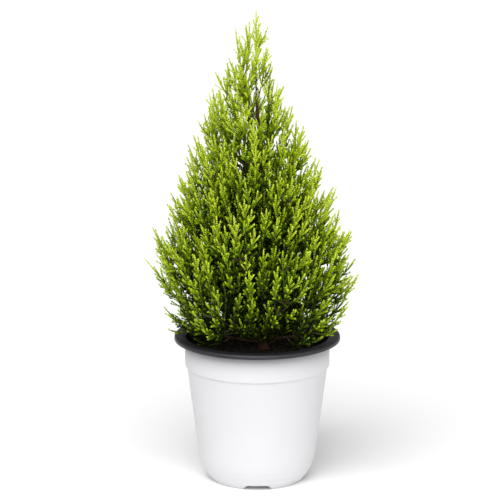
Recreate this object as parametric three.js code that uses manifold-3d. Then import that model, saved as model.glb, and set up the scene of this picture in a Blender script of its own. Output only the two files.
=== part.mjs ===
// A young golden Monterey cypress in a thin two-tone nursery pot, as an assembly of separate solids:
// the pot, its soil, the trunk, the boughs, and one mass of foliage on the end of each bough.
// Millimetres, +Z up. The origin is on the pot's axis, on the surface that the pot stands on.
// Looking along +Y, the front of the plant faces -Y and +X is to the right.
import * as THREE from "three";
import { mergeVertices } from "three/addons/utils/BufferGeometryUtils.js";
import Module from "manifold-3d";

const wasm = await Module();
wasm.setup();

// Driving dimensions of the pot
const POT_HEIGHT = 116;
const RIM_RADIUS = 65;
const RIM_DROP = 3.4; // height of the rim's turned-down edge
const RIM_EDGE = 0.9; // bevel of the rim's outer edge
const RIM_THROAT = 1.5; // bevel where the rim turns down into the pot
const RIM_DRAFT = 0.2; // how much wider the turned-down edge is at its foot
const WALL = 1.2;
const COLLAR_RADIUS = 56.8; // outside of the wall, just under the rim
const COLLAR_DEPTH = 24; // from the top of the rim down to the step under the collar
const COLLAR_STEP = 1.6; // how far the wall steps in there
const COLLAR_DRAFT = 0.3; // how much narrower the collar is at its foot
const SHOULDER_RADIUS = 46.3;
const SHOULDER_HEIGHT = 22; // where the straight wall turns in towards the foot
const FOOT_RADIUS = 36;
const FOOT_WIDTH = 6;
const FOOT_HEIGHT = 4; // of the base above the floor
const FOOT_DRAFT = 1.5; // slope of the foot ring's inner side
const SHOULDER_BULGE = 1.7; // the shoulder's corner before it is rounded: this far inside the wall
const SHOULDER_DROP = 0.41; // and at this share of its height
const NOTCH_COUNT = 4;
const NOTCH_WIDTH = 16;
const NOTCH_SPLAY = 3; // how much wider each end of a notch is at the floor
const NOTCH_HEIGHT = 3.6;
const POT_SIDES = 36;
const SHOULDER_STEPS = 3;

// Driving dimensions of the soil and the trunk. Plant heights are measured up from the soil.
const GAP = 0.3; // clearance between neighbouring solids
const SOIL_DEPTH = 12; // from the top of the rim down to the soil
const SOIL_FLAT = 14; // radius of the flat round the trunk
const SOIL_FALL = 1.5; // how much lower the soil lies against the pot
const SOIL_TOP = POT_HEIGHT - SOIL_DEPTH;
const TRUNK_TOP = 200;
const TRUNK_FOOT_X = 5; // the trunk leaves the soil a little right of the pot's axis
const TRUNK_TOP_X = -1;
const TRUNK_SWAY = 2.2; // to each side of its straight line
const TRUNK_WAVES = 1; // whole bends of the sway seen from the front
const TRUNK_SIDE_WAVES = 0.8; // and from the side
const TRUNK_RADIUS = 3.5; // above the root flare
const TRUNK_TIP_RADIUS = 0.9;
const FLARE_RADIUS = 1.9; // added at the soil
const FLARE_HEIGHT = 7;
const TRUNK_SIDES = 8;
const TRUNK_RINGS = 14;
const TRUNK_RING_SPACING = 1.6; // over 1 puts more rings low down

// Driving dimensions of the crown
const CROWN_TOP = 268;
const CROWN_WIDEST = 80; // height of the widest place
const CROWN_RADIUS = 77;
const CROWN_FOOT_RADIUS = 64; // at the soil
const CROWN_TAPER = 1.15; // 1 is a straight cone, more is a rounder one
const CROWN_SHIFT = 9; // the upper crown stands this far left of the pot's axis

// Driving dimensions of the boughs
const SEED = 7;
const PLUME_COUNT = 26; // plumes of the crown's outside
const BOUGH_COUNT = 18; // the lowest of them stand on boughs, the others leave the trunk
const INNER_COUNT = 10; // plumes that fill the middle of the crown
const FIRST_AZIMUTH = 3.25;
const GOLDEN_ANGLE = Math.PI * (3 - Math.sqrt(5));
const LOWEST_TIP = 28;
const HIGHEST_TIP = 238;
const TIP_SPACING = 1.0; // over 1 puts more tips low down
const LOWEST_FORK = 6;
const FORK_SPACING = 2.3; // least height between one bough's fork and the next
const LOW_SLOPE = 0.4; // rise over reach of the lowest bough
const HIGH_SLOPE = 3; // and of the highest
const REACH_SPREAD = 0.06; // of the crown's radius
const BEND_OUT = 0.68; // where a bough's line bends up: share of its reach
const BEND_UP = 0.26; // and of its rise
const BARE_SHARE = 0.3; // part of a bough's line that is bare wood
const BOUGH_RADIUS = 0.8;
const BOUGH_GROWTH = 0.011; // added to the radius for each millimetre of the line
const FORK_SHARE = 0.72; // thickest fork, as a share of the trunk there
const BOUGH_SIDES = 5;
const BOUGH_RINGS = 4;
const CO_LEADER = { azimuth: 3.25, fork: 182, reach: 14, tip: 254 };
const INNER_CHOICES = 24; // directions tried for an inner plume
const INNER_CLEAR = 0.06; // share of a line next to the trunk that needs no room
const LOWEST_INNER = 18; // fork of the lowest inner plume
const HIGHEST_INNER = 164;
const INNER_RISE = 58; // from fork to tip
const INNER_REACH = 0.42; // of the crown's radius

// Driving dimensions of the foliage
const TWIG_SIDES = 3;
const TWIG_TWIST = 0.35; // turn of each ring of a twig against the one below
const STEM_SHARE = 0.93; // where the stem ends and its last spray goes on to the tip
const STEM_TIP_RADIUS = 0.7;
const STEM_RINGS = 8;
const STEM_BARE = 0.2; // lower share of the stem that carries shoots and no sprays
const MOST_SHOOTS = 11;
const SHOOT_SPACING = 5; // length of stem for each shoot
const SHOOT_RINGS = 5;
const SHOOT_STEP = 2; // patches of the stem from one shoot to the next
const SHOOT_ANGLE = 0.85; // from the stem, where the shoot leaves it
const SHOOT_SPREAD = 0.25; // how much of its end direction is away from the stem
const SHOOT_RISE = 0.8; // how much of its end direction is straight up
const SHOOT_SHARE = 1.0; // longest shoot, as a share of the stem's length
const SHOOT_FALL = 0.6; // how much shorter the highest shoot is
const SHORTEST_SHOOT = 16;
const SHOOT_TRIES = [1, 0.8, 0.6]; // shares of its length that a shoot tries
const SHOOT_CLEAR = 0.35; // share of a shoot next to its root that needs no room
const SHOOT_RADIUS = 1.4;
const SHOOT_TIP_RADIUS = 0.8;
const SPRAY_LENGTH = 22;
const SPIRE_SPRAY = 11; // length of the sprays at the top of the crown
const SPRAY_GROWTH = 0.35; // added for each millimetre of the crown's radius
const SPRAY_FALL = 0.4; // how much shorter the sprays are at a twig's tip
const SPRAY_ANGLE = 0.7; // between a spray and its twig
const SPRAY_SPREAD = 0.1; // of that angle
const LENGTH_SPREAD = 0.15; // of a spray's length
const SPRAY_TRIES = [1, 0.75, 0.5]; // shares of its length that a spray tries
const SPRAY_PLACES = [0.25, 0.4, 0.55, 0.7, 0.85, 1]; // shares of a spray where its room is tested
const SPRAY_ROOM = 2.8; // between those places of two sprays
const LEAF_ROOM = 0.5; // least clearance of foliage to a limb or to the next mass
const TWIG_ROOM = 0.5; // how much nearer a spray keeps to its own twig than to another
const SHOOT_ROOM = 4; // least distance of a shoot to another twig, past its root
const OUTLINE_ROOM = 1; // how far a spray may pass the crown's outline
const SPIRE_ROOM = 7; // or how far it may stand off a stem that reaches past the outline

const SAMPLES = 24; // points along a line that stand for it
const { lerp } = THREE.MathUtils;
const up = new THREE.Vector3(0, 0, 1);

// A number from 0 to 1 that looks random and is always the same for the same keys.
function draw(a, b, c) {
  const value = Math.sin(SEED + a * 12.9898 + b * 78.233 + c * 37.719) * 43758.5453;
  return value - Math.floor(value);
}

// Solids and meshes

function solidOf(geometry) {
  const bare = geometry.clone();
  bare.deleteAttribute("normal");
  bare.deleteAttribute("uv");
  const merged = mergeVertices(bare, 1e-4);
  return new wasm.Manifold(
    new wasm.Mesh({
      numProp: 3,
      vertProperties: new Float32Array(merged.attributes.position.array),
      triVerts: new Uint32Array(merged.index.array),
    }),
  );
}

function geometryOf(solid) {
  const mesh = solid.getMesh();
  const geometry = new THREE.BufferGeometry();
  geometry.setAttribute("position", new THREE.BufferAttribute(mesh.vertProperties, 3));
  geometry.setIndex(new THREE.BufferAttribute(mesh.triVerts, 1));
  geometry.computeVertexNormals();
  return geometry;
}

// The largest body of a solid, without any loose scrap.
function mainBody(solid) {
  const bodies = solid.decompose();
  return bodies.reduce((largest, body) => (body.volume() > largest.volume() ? body : largest));
}

function meshOf(name, geometry, material) {
  const mesh = new THREE.Mesh(geometry, material);
  mesh.name = name;
  return mesh;
}

// A cylinder bent along a curve, with its own radius at each place. The ends are flat.
function limb(curve, radiusAt, sides, rings) {
  const geometry = new THREE.CylinderGeometry(1, 1, 1, sides, rings);
  const frames = curve.computeFrenetFrames(rings);
  const places = geometry.attributes.position;
  for (let i = 0; i < places.count; i++) {
    const ring = Math.round((places.getY(i) + 0.5) * rings);
    const share = ring / rings;
    const radius = radiusAt(share);
    const place = curve
      .getPointAt(share)
      .addScaledVector(frames.normals[ring], -radius * places.getX(i))
      .addScaledVector(frames.binormals[ring], radius * places.getZ(i));
    places.setXYZ(i, place.x, place.y, place.z);
  }
  return geometry;
}

// A stretch of a curve, from one share of its length to another.
class Stretch extends THREE.Curve {
  constructor(whole, from, to) {
    super();
    this.whole = whole;
    this.from = from;
    this.to = to;
  }
  getPoint(share, target = new THREE.Vector3()) {
    return this.whole.getPointAt(this.from + (this.to - this.from) * share, target);
  }
}

// Pot and soil

// The wall from the base up to the collar, moved in from the outside by an inset.
function wallPath(path, inset) {
  const step = POT_HEIGHT - COLLAR_DEPTH;
  const collar = COLLAR_RADIUS - COLLAR_DRAFT - inset;
  path.quadraticCurveTo(
    SHOULDER_RADIUS - SHOULDER_BULGE - inset,
    SHOULDER_HEIGHT * SHOULDER_DROP + inset,
    SHOULDER_RADIUS - inset,
    SHOULDER_HEIGHT,
  );
  path.lineTo(collar - COLLAR_STEP, step - COLLAR_STEP);
  path.lineTo(collar, step);
  return path;
}

// The inside of the pot lies a wall's thickness in, and the soil's outside a little further in.
function insidePoints(inset) {
  const path = new THREE.Path();
  path.moveTo(0, FOOT_HEIGHT + inset);
  path.lineTo(FOOT_RADIUS + 2 * WALL - inset, FOOT_HEIGHT + inset);
  return wallPath(path, inset).getPoints(SHOULDER_STEPS);
}

function potGeometry() {
  const edge = RIM_RADIUS - RIM_DRAFT;
  const outside = new THREE.Path();
  outside.moveTo(0, FOOT_HEIGHT);
  outside.lineTo(FOOT_RADIUS - FOOT_WIDTH - FOOT_DRAFT, FOOT_HEIGHT);
  outside.lineTo(FOOT_RADIUS - FOOT_WIDTH, 0);
  outside.lineTo(FOOT_RADIUS, 0);
  wallPath(outside, 0);
  outside.lineTo(COLLAR_RADIUS, POT_HEIGHT - WALL);
  outside.lineTo(edge - WALL, POT_HEIGHT - WALL);
  outside.lineTo(RIM_RADIUS - WALL, POT_HEIGHT - RIM_DROP);
  outside.lineTo(RIM_RADIUS, POT_HEIGHT - RIM_DROP);
  outside.lineTo(edge, POT_HEIGHT - RIM_EDGE);
  outside.lineTo(edge - RIM_EDGE, POT_HEIGHT);
  outside.lineTo(COLLAR_RADIUS - WALL + RIM_THROAT, POT_HEIGHT);
  outside.lineTo(COLLAR_RADIUS - WALL, POT_HEIGHT - RIM_THROAT);
  const profile = [...outside.getPoints(SHOULDER_STEPS), ...insidePoints(WALL).reverse()];
  let pot = solidOf(new THREE.LatheGeometry(profile, POT_SIDES).rotateX(Math.PI / 2));
  for (let i = 0; i < NOTCH_COUNT; i++) {
    pot = pot.subtract(solidOf(notchGeometry((i / NOTCH_COUNT) * 2 * Math.PI)));
  }
  return geometryOf(pot);
}

// A wedge-ended gap in the foot ring, open outwards.
function notchGeometry(azimuth) {
  const below = -1;
  const shape = new THREE.Shape();
  shape.moveTo(-NOTCH_WIDTH / 2 - NOTCH_SPLAY, below);
  shape.lineTo(NOTCH_WIDTH / 2 + NOTCH_SPLAY, below);
  shape.lineTo(NOTCH_WIDTH / 2, NOTCH_HEIGHT);
  shape.lineTo(-NOTCH_WIDTH / 2, NOTCH_HEIGHT);
  shape.closePath();
  const inner = FOOT_RADIUS - 2 * FOOT_WIDTH;
  const geometry = new THREE.ExtrudeGeometry(shape, { depth: 3 * FOOT_WIDTH, bevelEnabled: false });
  return geometry.rotateX(Math.PI / 2).translate(0, -inner, 0).rotateZ(azimuth);
}

function soilGeometry() {
  const inset = WALL + GAP * Math.SQRT2; // leaves GAP square to the sloped step
  const edge = COLLAR_RADIUS - COLLAR_DRAFT - inset;
  const profile = insidePoints(inset);
  profile.push(
    new THREE.Vector2(edge, SOIL_TOP - SOIL_FALL),
    new THREE.Vector2(SOIL_FLAT, SOIL_TOP),
    new THREE.Vector2(0, SOIL_TOP),
  );
  return new THREE.LatheGeometry(profile, POT_SIDES).rotateX(Math.PI / 2);
}

// Trunk

function trunkCentre(height) {
  const share = height / TRUNK_TOP;
  return new THREE.Vector3(
    lerp(TRUNK_FOOT_X, TRUNK_TOP_X, share) - TRUNK_SWAY * Math.sin(2 * Math.PI * TRUNK_WAVES * share),
    TRUNK_SWAY * Math.sin(2 * Math.PI * TRUNK_SIDE_WAVES * share),
    height,
  );
}

function trunkRadius(height) {
  const flare = FLARE_RADIUS * Math.max(0, 1 - height / FLARE_HEIGHT) ** 2;
  return lerp(TRUNK_RADIUS, TRUNK_TIP_RADIUS, height / TRUNK_TOP) + flare;
}

// A cylinder with level rings, closer together in the root flare, each moved on to the trunk's line.
function trunkGeometry(extra) {
  const geometry = new THREE.CylinderGeometry(1, 1, 1, TRUNK_SIDES, TRUNK_RINGS).rotateX(Math.PI / 2);
  const places = geometry.attributes.position;
  for (let i = 0; i < places.count; i++) {
    const height = lerp(GAP, TRUNK_TOP, (places.getZ(i) + 0.5) ** TRUNK_RING_SPACING);
    const radius = trunkRadius(height) + extra;
    const centre = trunkCentre(height);
    places.setXYZ(i, centre.x + radius * places.getX(i), centre.y + radius * places.getY(i), height);
  }
  return geometry;
}

// Crown outline and the lines that the boughs grow along

function crownRadius(height) {
  if (height > CROWN_WIDEST) {
    const share = Math.min(1, (height - CROWN_WIDEST) / (CROWN_TOP - CROWN_WIDEST));
    return CROWN_RADIUS * (1 - share ** CROWN_TAPER);
  }
  const share = (CROWN_WIDEST - height) / CROWN_WIDEST;
  return CROWN_RADIUS - (CROWN_RADIUS - CROWN_FOOT_RADIUS) * share ** 2;
}

function crownCentre(height) {
  const share = Math.min(1, Math.max(0, height / CROWN_TOP));
  return new THREE.Vector3(-CROWN_SHIFT * Math.sin(Math.PI * share ** 2), 0, height);
}

// A plume is a line of growth that leaves the trunk and bends upwards to its tip. Part of it may be a
// bare bough; the rest is a mass of foliage.
function plume(name, bare, { azimuth, fork, reach, tip }) {
  const outwards = new THREE.Vector3(Math.cos(azimuth), Math.sin(azimuth), 0);
  const start = trunkCentre(fork);
  const end = crownCentre(tip).addScaledVector(outwards, reach);
  const bend = new THREE.Vector3(
    lerp(start.x, end.x, BEND_OUT),
    lerp(start.y, end.y, BEND_OUT),
    lerp(start.z, end.z, BEND_UP),
  );
  const line = new THREE.QuadraticBezierCurve3(start, bend, end);
  const radius = Math.min(BOUGH_RADIUS + BOUGH_GROWTH * line.getLength(), FORK_SHARE * trunkRadius(fork));
  return { name, line, radius, bare, forked: bare === 0 };
}

function numbered(index) {
  return String(index + 1).padStart(2, "0");
}

function outerPlume(index) {
  const share = index / (PLUME_COUNT - 1);
  const tip = lerp(LOWEST_TIP, HIGHEST_TIP, share ** TIP_SPACING);
  const reach = crownRadius(tip) * (1 + REACH_SPREAD * (2 * draw(index, 0, 1) - 1));
  const slope = lerp(LOW_SLOPE, HIGH_SLOPE, (tip - LOWEST_TIP) / (HIGHEST_TIP - LOWEST_TIP));
  const fork = Math.max(tip - reach * slope, LOWEST_FORK + FORK_SPACING * index);
  const azimuth = FIRST_AZIMUTH + GOLDEN_ANGLE * index;
  return plume(numbered(index), index < BOUGH_COUNT ? BARE_SHARE : 0, { azimuth, fork, reach, tip });
}

// An inner plume leaves the trunk on the side where the other plumes leave it the most room.
function innerPlume(index, others) {
  const fork = lerp(LOWEST_INNER, HIGHEST_INNER, index / (INNER_COUNT - 1));
  const tip = fork + INNER_RISE;
  const reach = INNER_REACH * crownRadius(tip);
  let best = null;
  let mostRoom = 0;
  for (let i = 0; i < INNER_CHOICES; i++) {
    const azimuth = (2 * Math.PI * i) / INNER_CHOICES;
    const choice = plume(`inner_${numbered(index)}`, 0, { azimuth, fork, reach, tip });
    const places = pointsAlong(choice.line, INNER_CLEAR, 1);
    const room = Math.min(...others.map((other) => Math.min(...places.map((p) => nearest(other, p)))));
    if (room <= mostRoom) continue;
    best = choice;
    mostRoom = room;
  }
  return best;
}

function leaderPlume() {
  const foot = trunkCentre(TRUNK_TOP + GAP);
  const line = new THREE.LineCurve3(foot, new THREE.Vector3(foot.x, foot.y, CROWN_TOP));
  return { name: "leader", line, radius: TRUNK_TIP_RADIUS, bare: 0, forked: false };
}

const plumes = [];
for (let i = 0; i < PLUME_COUNT; i++) plumes.push(outerPlume(i));
plumes.push(plume("co_leader", 0, CO_LEADER));
plumes.push(leaderPlume());
const lines = plumes.map((each) => pointsAlong(each.line, INNER_CLEAR, 1));
for (let i = 0; i < INNER_COUNT; i++) {
  const inner = innerPlume(i, lines);
  plumes.push(inner);
  lines.push(pointsAlong(inner.line, INNER_CLEAR, 1));
}

// Radius of a plume's wood at a share of its line, from the fork to the tip of its stem.
function woodRadius(plume, share) {
  return lerp(plume.radius, STEM_TIP_RADIUS, Math.min(1, share / STEM_SHARE));
}

const trunkRoom = solidOf(trunkGeometry(GAP / Math.cos(Math.PI / TRUNK_SIDES)));

function boughGeometry(plume) {
  const wood = new Stretch(plume.line, 0, plume.bare);
  const whole = solidOf(limb(wood, (s) => woodRadius(plume, s * plume.bare), BOUGH_SIDES, BOUGH_RINGS));
  return geometryOf(mainBody(whole.subtract(trunkRoom)));
}

// Space: each mass of foliage keeps to the points that lie nearest to its own stem, clear of the wood.

function pointsAlong(line, from, to) {
  return Array.from({ length: SAMPLES + 1 }, (_, i) => line.getPointAt(lerp(from, to, i / SAMPLES)));
}

const stemPoints = plumes.map((each) => pointsAlong(each.line, each.bare, 1));
const woodPoints = plumes.flatMap((each) =>
  pointsAlong(each.line, 0, each.bare).map((place) => ({ place, radius: each.radius })),
);
for (let height = 0; height <= TRUNK_TOP; height += TRUNK_RADIUS / 2) {
  woodPoints.push({ place: trunkCentre(height), radius: trunkRadius(height) });
}

function nearest(points, place) {
  return Math.min(...points.map((point) => point.distanceTo(place)));
}

function inOwnSpace(place, own) {
  const mine = nearest(stemPoints[own], place) + 2 * LEAF_ROOM;
  return stemPoints.every((points, other) => other === own || nearest(points, place) >= mine);
}

function clearOfWood(place) {
  return woodPoints.every((wood) => wood.place.distanceTo(place) >= wood.radius + LEAF_ROOM);
}

function clearOfPot(place) {
  if (place.z > SOIL_DEPTH + LEAF_ROOM + SHOOT_RADIUS) return true;
  return place.z > SHOOT_RADIUS + LEAF_ROOM && Math.hypot(place.x, place.y) < COLLAR_RADIUS - 2 * WALL;
}

function insideCrown(place, own) {
  if (place.z > CROWN_TOP) return false;
  const centre = crownCentre(place.z);
  const radius = Math.hypot(place.x - centre.x, place.y - centre.y);
  if (radius <= crownRadius(place.z) * (1 + REACH_SPREAD) + OUTLINE_ROOM) return true;
  return nearest(stemPoints[own], place) < SPIRE_ROOM;
}

function fits(places, own) {
  return places.every(
    (place) =>
      clearOfPot(place) && insideCrown(place, own) && clearOfWood(place) && inOwnSpace(place, own),
  );
}

// Foliage

// The skin of one mass of foliage: corners, and triangles between them. Twigs grow out of patches of it.
class Skin {
  corners = [];
  faces = [];
  add(place) {
    this.corners.push(place);
    return this.corners.length - 1;
  }
  fan(rim, apex) {
    const top = this.add(apex);
    rim.forEach((corner, i) => this.faces.push(corner, rim[(i + 1) % rim.length], top));
  }
  middle(rim) {
    const sum = new THREE.Vector3();
    rim.forEach((corner) => sum.add(this.corners[corner]));
    return sum.divideScalar(rim.length);
  }
  geometry() {
    return new THREE.BufferGeometry().setFromPoints(this.corners).setIndex(this.faces);
  }
}

// Rings of corners along a twig. A twig with a root starts from three corners that are there already.
function addRings(skin, { line, radiusAt, rings, root }) {
  const frames = line.computeFrenetFrames(rings);
  let turn = 0;
  if (root) {
    // The third corner is the one that lies apart, so the rings line up with that one.
    const arm = skin.corners[root[2]].clone().sub(skin.middle(root));
    turn = Math.atan2(arm.dot(frames.binormals[0]), arm.dot(frames.normals[0]));
    turn -= (4 * Math.PI) / TWIG_SIDES + TWIG_TWIST;
  }
  const found = root ? [root] : [];
  for (let ring = found.length; ring <= rings; ring++) {
    const centre = line.getPointAt(ring / rings);
    const corners = [];
    for (let side = 0; side < TWIG_SIDES; side++) {
      const angle = turn + (2 * Math.PI * side) / TWIG_SIDES + ring * TWIG_TWIST;
      const out = frames.normals[ring]
        .clone()
        .multiplyScalar(Math.cos(angle))
        .addScaledVector(frames.binormals[ring], Math.sin(angle));
      corners.push(skin.add(centre.clone().addScaledVector(out, radiusAt(ring / rings))));
    }
    found.push(corners);
  }
  return found;
}

// The four-cornered patches between the rings of a twig, counted round and upwards.
function patchesOf(skin, { line, rings, corners }) {
  const patches = [];
  for (let ring = 0; ring < rings; ring++) {
    for (let side = 0; side < TWIG_SIDES; side++) {
      const next = (side + 1) % TWIG_SIDES;
      const [low, high] = [corners[ring], corners[ring + 1]];
      const rim = [low[side], low[next], high[next], high[side]];
      const share = (ring + 0.5) / rings;
      const middle = skin.middle(rim);
      const along = line.getTangentAt(share);
      const out = middle.clone().sub(line.getPointAt(share));
      out.addScaledVector(along, -out.dot(along)).normalize();
      patches.push({ rim, middle, along, out, share });
    }
  }
  return patches;
}

// The tip of a spray that stands off its twig, shorter where there is no room, or null.
// The places along it are added to those of the mass's other sprays.
function sprayTip(patch, key, twig, others, sprays, own) {
  const { middle, along, out, share } = patch;
  const angle = SPRAY_ANGLE + SPRAY_SPREAD * (2 * draw(own, key, 5) - 1);
  const direction = along.clone().multiplyScalar(Math.cos(angle)).addScaledVector(out, Math.sin(angle));
  const full = Math.min(SPRAY_LENGTH, SPIRE_SPRAY + SPRAY_GROWTH * crownRadius(middle.z));
  const longest = full * (1 - SPRAY_FALL * share) * (1 + LENGTH_SPREAD * (2 * draw(own, key, 6) - 1));
  for (const part of SPRAY_TRIES) {
    const tip = middle.clone().addScaledVector(direction, longest * part);
    const places = SPRAY_PLACES.map((each) => middle.clone().lerp(tip, each));
    const crossing = places.some((place) => {
      const room = nearest(twig.points, place) + TWIG_ROOM;
      return others.some((other) => nearest(other.points, place) < room);
    });
    const crowded = places.some((place) => nearest(sprays, place) < SPRAY_ROOM);
    if (crossing || crowded || !fits(places, own)) continue;
    sprays.push(...places);
    return tip;
  }
  return null;
}

// A shoot leaves its stem at an angle and bends up beside it.
function shootLine(root, tangent, side, length) {
  const first = tangent
    .clone()
    .multiplyScalar(Math.cos(SHOOT_ANGLE))
    .addScaledVector(side, Math.sin(SHOOT_ANGLE));
  const last = tangent
    .clone()
    .addScaledVector(side, SHOOT_SPREAD)
    .addScaledVector(up, SHOOT_RISE)
    .normalize();
  const bend = root.clone().addScaledVector(first, length / 2);
  const end = bend.clone().addScaledVector(last, length / 2);
  return new THREE.QuadraticBezierCurve3(root, bend, end);
}

// The shoot that a patch of the stem grows, as long as there is room for, or null.
function shootFrom(patch, longest, twigs, own) {
  for (const part of SHOOT_TRIES) {
    const line = shootLine(patch.middle, patch.along, patch.out, longest * part);
    const places = pointsAlong(line, SHOOT_CLEAR, 1);
    const crossing = twigs.some((twig) => places.some((place) => nearest(twig.points, place) < SHOOT_ROOM));
    if (crossing || !fits(places, own)) continue;
    return {
      line: new Stretch(line, 0, STEM_SHARE),
      tip: line.getPointAt(1),
      radiusAt: (share) => lerp(SHOOT_RADIUS, SHOOT_TIP_RADIUS, share),
      rings: SHOOT_RINGS,
      root: patch.rim.slice(0, TWIG_SIDES),
      bare: 1 / SHOOT_RINGS,
    };
  }
  return null;
}

// One mass of foliage: a stem, shoots that leave it in turn all the way round, and sprays along both.
function growMass(own) {
  const { line, bare, forked } = plumes[own];
  const begin = bare === 0 ? 0 : bare + GAP / line.getLength();
  const skin = new Skin();
  const stem = {
    line: new Stretch(line, begin, STEM_SHARE),
    tip: line.getPointAt(1),
    radiusAt: (share) => woodRadius(plumes[own], lerp(begin, STEM_SHARE, share)),
    rings: STEM_RINGS,
    bare: bare === 0 && !forked ? 0 : STEM_BARE,
  };
  const twigs = [];
  const add = (twig) => {
    twig.corners = addRings(skin, twig);
    twig.points = pointsAlong(twig.line, 0, 1);
    twig.patches = patchesOf(skin, twig);
    twigs.push(twig);
  };
  add(stem);
  skin.faces.push(...stem.corners[0].toReversed());

  const stemLength = stem.line.getLength();
  const count = Math.min(MOST_SHOOTS, Math.round(stemLength / SHOOT_SPACING));
  for (let j = 0; j < count; j++) {
    const patch = stem.patches[SHOOT_STEP * j + (forked ? TWIG_SIDES : 0)];
    const longest = Math.max(SHORTEST_SHOOT, stemLength * SHOOT_SHARE * (1 - SHOOT_FALL * patch.share));
    const shoot = shootFrom(patch, longest, twigs, own);
    if (!shoot) continue;
    patch.grown = true;
    add(shoot);
  }

  const sprays = [];
  twigs.forEach((twig, i) => {
    const others = twigs.filter((other) => other !== twig);
    twig.patches.forEach((patch, j) => {
      const [a, b, c, d] = patch.rim;
      const bareWood = patch.grown || patch.share < twig.bare;
      const tip = bareWood ? null : sprayTip(patch, i * 100 + j, twig, others, sprays, own);
      if (tip) skin.fan(patch.rim, tip);
      else skin.faces.push(a, c, d);
      if (!tip && !patch.grown) skin.faces.push(a, b, c);
    });
    skin.fan(twig.corners[twig.rings], twig.tip);
  });
  const whole = skin.geometry();
  return forked ? geometryOf(mainBody(solidOf(whole).subtract(trunkRoom))) : whole;
}

// Assembly

const white = new THREE.MeshStandardMaterial({ color: 0xf1f1f3, roughness: 0.55, metalness: 0 });
const earth = new THREE.MeshStandardMaterial({ color: 0x1c1610, roughness: 0.95, metalness: 0 });
const bark = new THREE.MeshStandardMaterial({ color: 0x6b4630, roughness: 0.85, metalness: 0 });
const leaf = new THREE.MeshStandardMaterial({ color: 0x93b022, roughness: 0.6, metalness: 0 });

const pottedCypress = new THREE.Group();
pottedCypress.add(meshOf("pot", potGeometry(), white), meshOf("soil", soilGeometry(), earth));

const plant = new THREE.Group();
plant.position.z = SOIL_TOP;
pottedCypress.add(plant);
plant.add(meshOf("trunk", trunkGeometry(0), bark));
plumes.forEach((each, own) => {
  if (each.bare > 0) plant.add(meshOf(`bough_${each.name}`, boughGeometry(each), bark));
  plant.add(meshOf(`foliage_${each.name}`, growMass(own), leaf));
});

export default pottedCypress;
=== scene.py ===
# %% [markdown]
# # A potted golden cypress
#
# A young golden Monterey cypress stands in a thin nursery pot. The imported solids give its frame: the pot,
# the soil, the trunk, the boughs, and the masses of foliage. This lesson dresses that frame. The pot gets its
# two layers of sheet, the wood gets its bark, and every mass is grown again by the rule that made the solids,
# but carried on to the finest twigs and their scale leaves.
#
# The solids were drawn in millimetres, so the growth below is in millimetres too, measured up from the soil.
# Only the finished meshes are turned into metres.

# %% The frame
import math

import bpy
import numpy as np
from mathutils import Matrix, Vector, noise


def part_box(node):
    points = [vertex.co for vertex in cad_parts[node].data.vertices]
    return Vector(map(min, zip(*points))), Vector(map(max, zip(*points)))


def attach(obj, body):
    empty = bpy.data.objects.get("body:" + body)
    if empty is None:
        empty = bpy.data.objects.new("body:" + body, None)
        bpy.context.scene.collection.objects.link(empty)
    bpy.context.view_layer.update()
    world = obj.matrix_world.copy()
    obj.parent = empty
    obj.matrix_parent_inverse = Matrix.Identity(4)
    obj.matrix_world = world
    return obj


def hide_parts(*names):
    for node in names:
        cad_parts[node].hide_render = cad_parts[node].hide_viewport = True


MM = 0.001
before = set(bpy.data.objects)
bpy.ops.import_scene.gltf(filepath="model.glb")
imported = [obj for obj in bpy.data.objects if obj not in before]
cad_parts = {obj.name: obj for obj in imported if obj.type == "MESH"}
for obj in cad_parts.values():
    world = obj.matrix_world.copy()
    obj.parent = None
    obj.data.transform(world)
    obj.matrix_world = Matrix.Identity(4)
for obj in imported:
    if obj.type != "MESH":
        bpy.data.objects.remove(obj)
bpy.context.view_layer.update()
masses = sorted(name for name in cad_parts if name.startswith("foliage_"))
limbs = sorted(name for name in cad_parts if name.startswith("bough_"))
print(f"frame: {len(masses)} masses of foliage on {len(limbs)} boughs and the trunk")

# %% [markdown]
# ## The camera
#
# The picture was taken with a long lens from a little above the plant: the rim of the pot shows as a flat
# ellipse, and its two sides hardly converge. The ellipse gives the tilt, and the size of the rim in the
# picture gives the distance for that lens.

# %% The camera
PICTURE_PIXELS = 500
FOCAL_PIXELS = 3192
SENSOR_WIDTH = 36.0
CAMERA_PLACE = (-0.0057, -2.416, 0.7588)
CAMERA_DROP = math.radians(13.39)

lens = bpy.data.cameras.new("camera")
lens.sensor_width = SENSOR_WIDTH
lens.lens = SENSOR_WIDTH * FOCAL_PIXELS / PICTURE_PIXELS
camera = bpy.data.objects.new("camera", lens)
camera.location = CAMERA_PLACE
camera.rotation_euler = (math.pi / 2 - CAMERA_DROP, 0, 0)
bpy.context.scene.collection.objects.link(camera)
bpy.context.scene.camera = camera
print(f"camera: a {lens.lens:.0f} mm lens, {-CAMERA_PLACE[1]:.2f} m in front of the pot")

# %% [markdown]
# ## Tools for the bench
#
# A few short helpers do the plain work. One turns lists of corners and faces into a mesh piece. One starts a
# material with its shader. One puts a node into a tree and fills or links its inputs, so that a tree of
# nodes reads like a list of steps. The last one hands a finished piece over to the frame.


# %% Pieces and shaders
def link(obj):
    bpy.context.scene.collection.objects.link(obj)
    return obj


def new_piece(name, places, faces, material, smooth=True):
    """A mesh piece from corners in millimetres."""
    mesh = bpy.data.meshes.new(name)
    mesh.from_pydata((np.asarray(places) * MM).tolist(), [], faces)
    mesh.polygons.foreach_set("use_smooth", [smooth] * len(mesh.polygons))
    if material:
        mesh.materials.append(material)
    mesh.validate()
    return link(bpy.data.objects.new(name, mesh))


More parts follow.
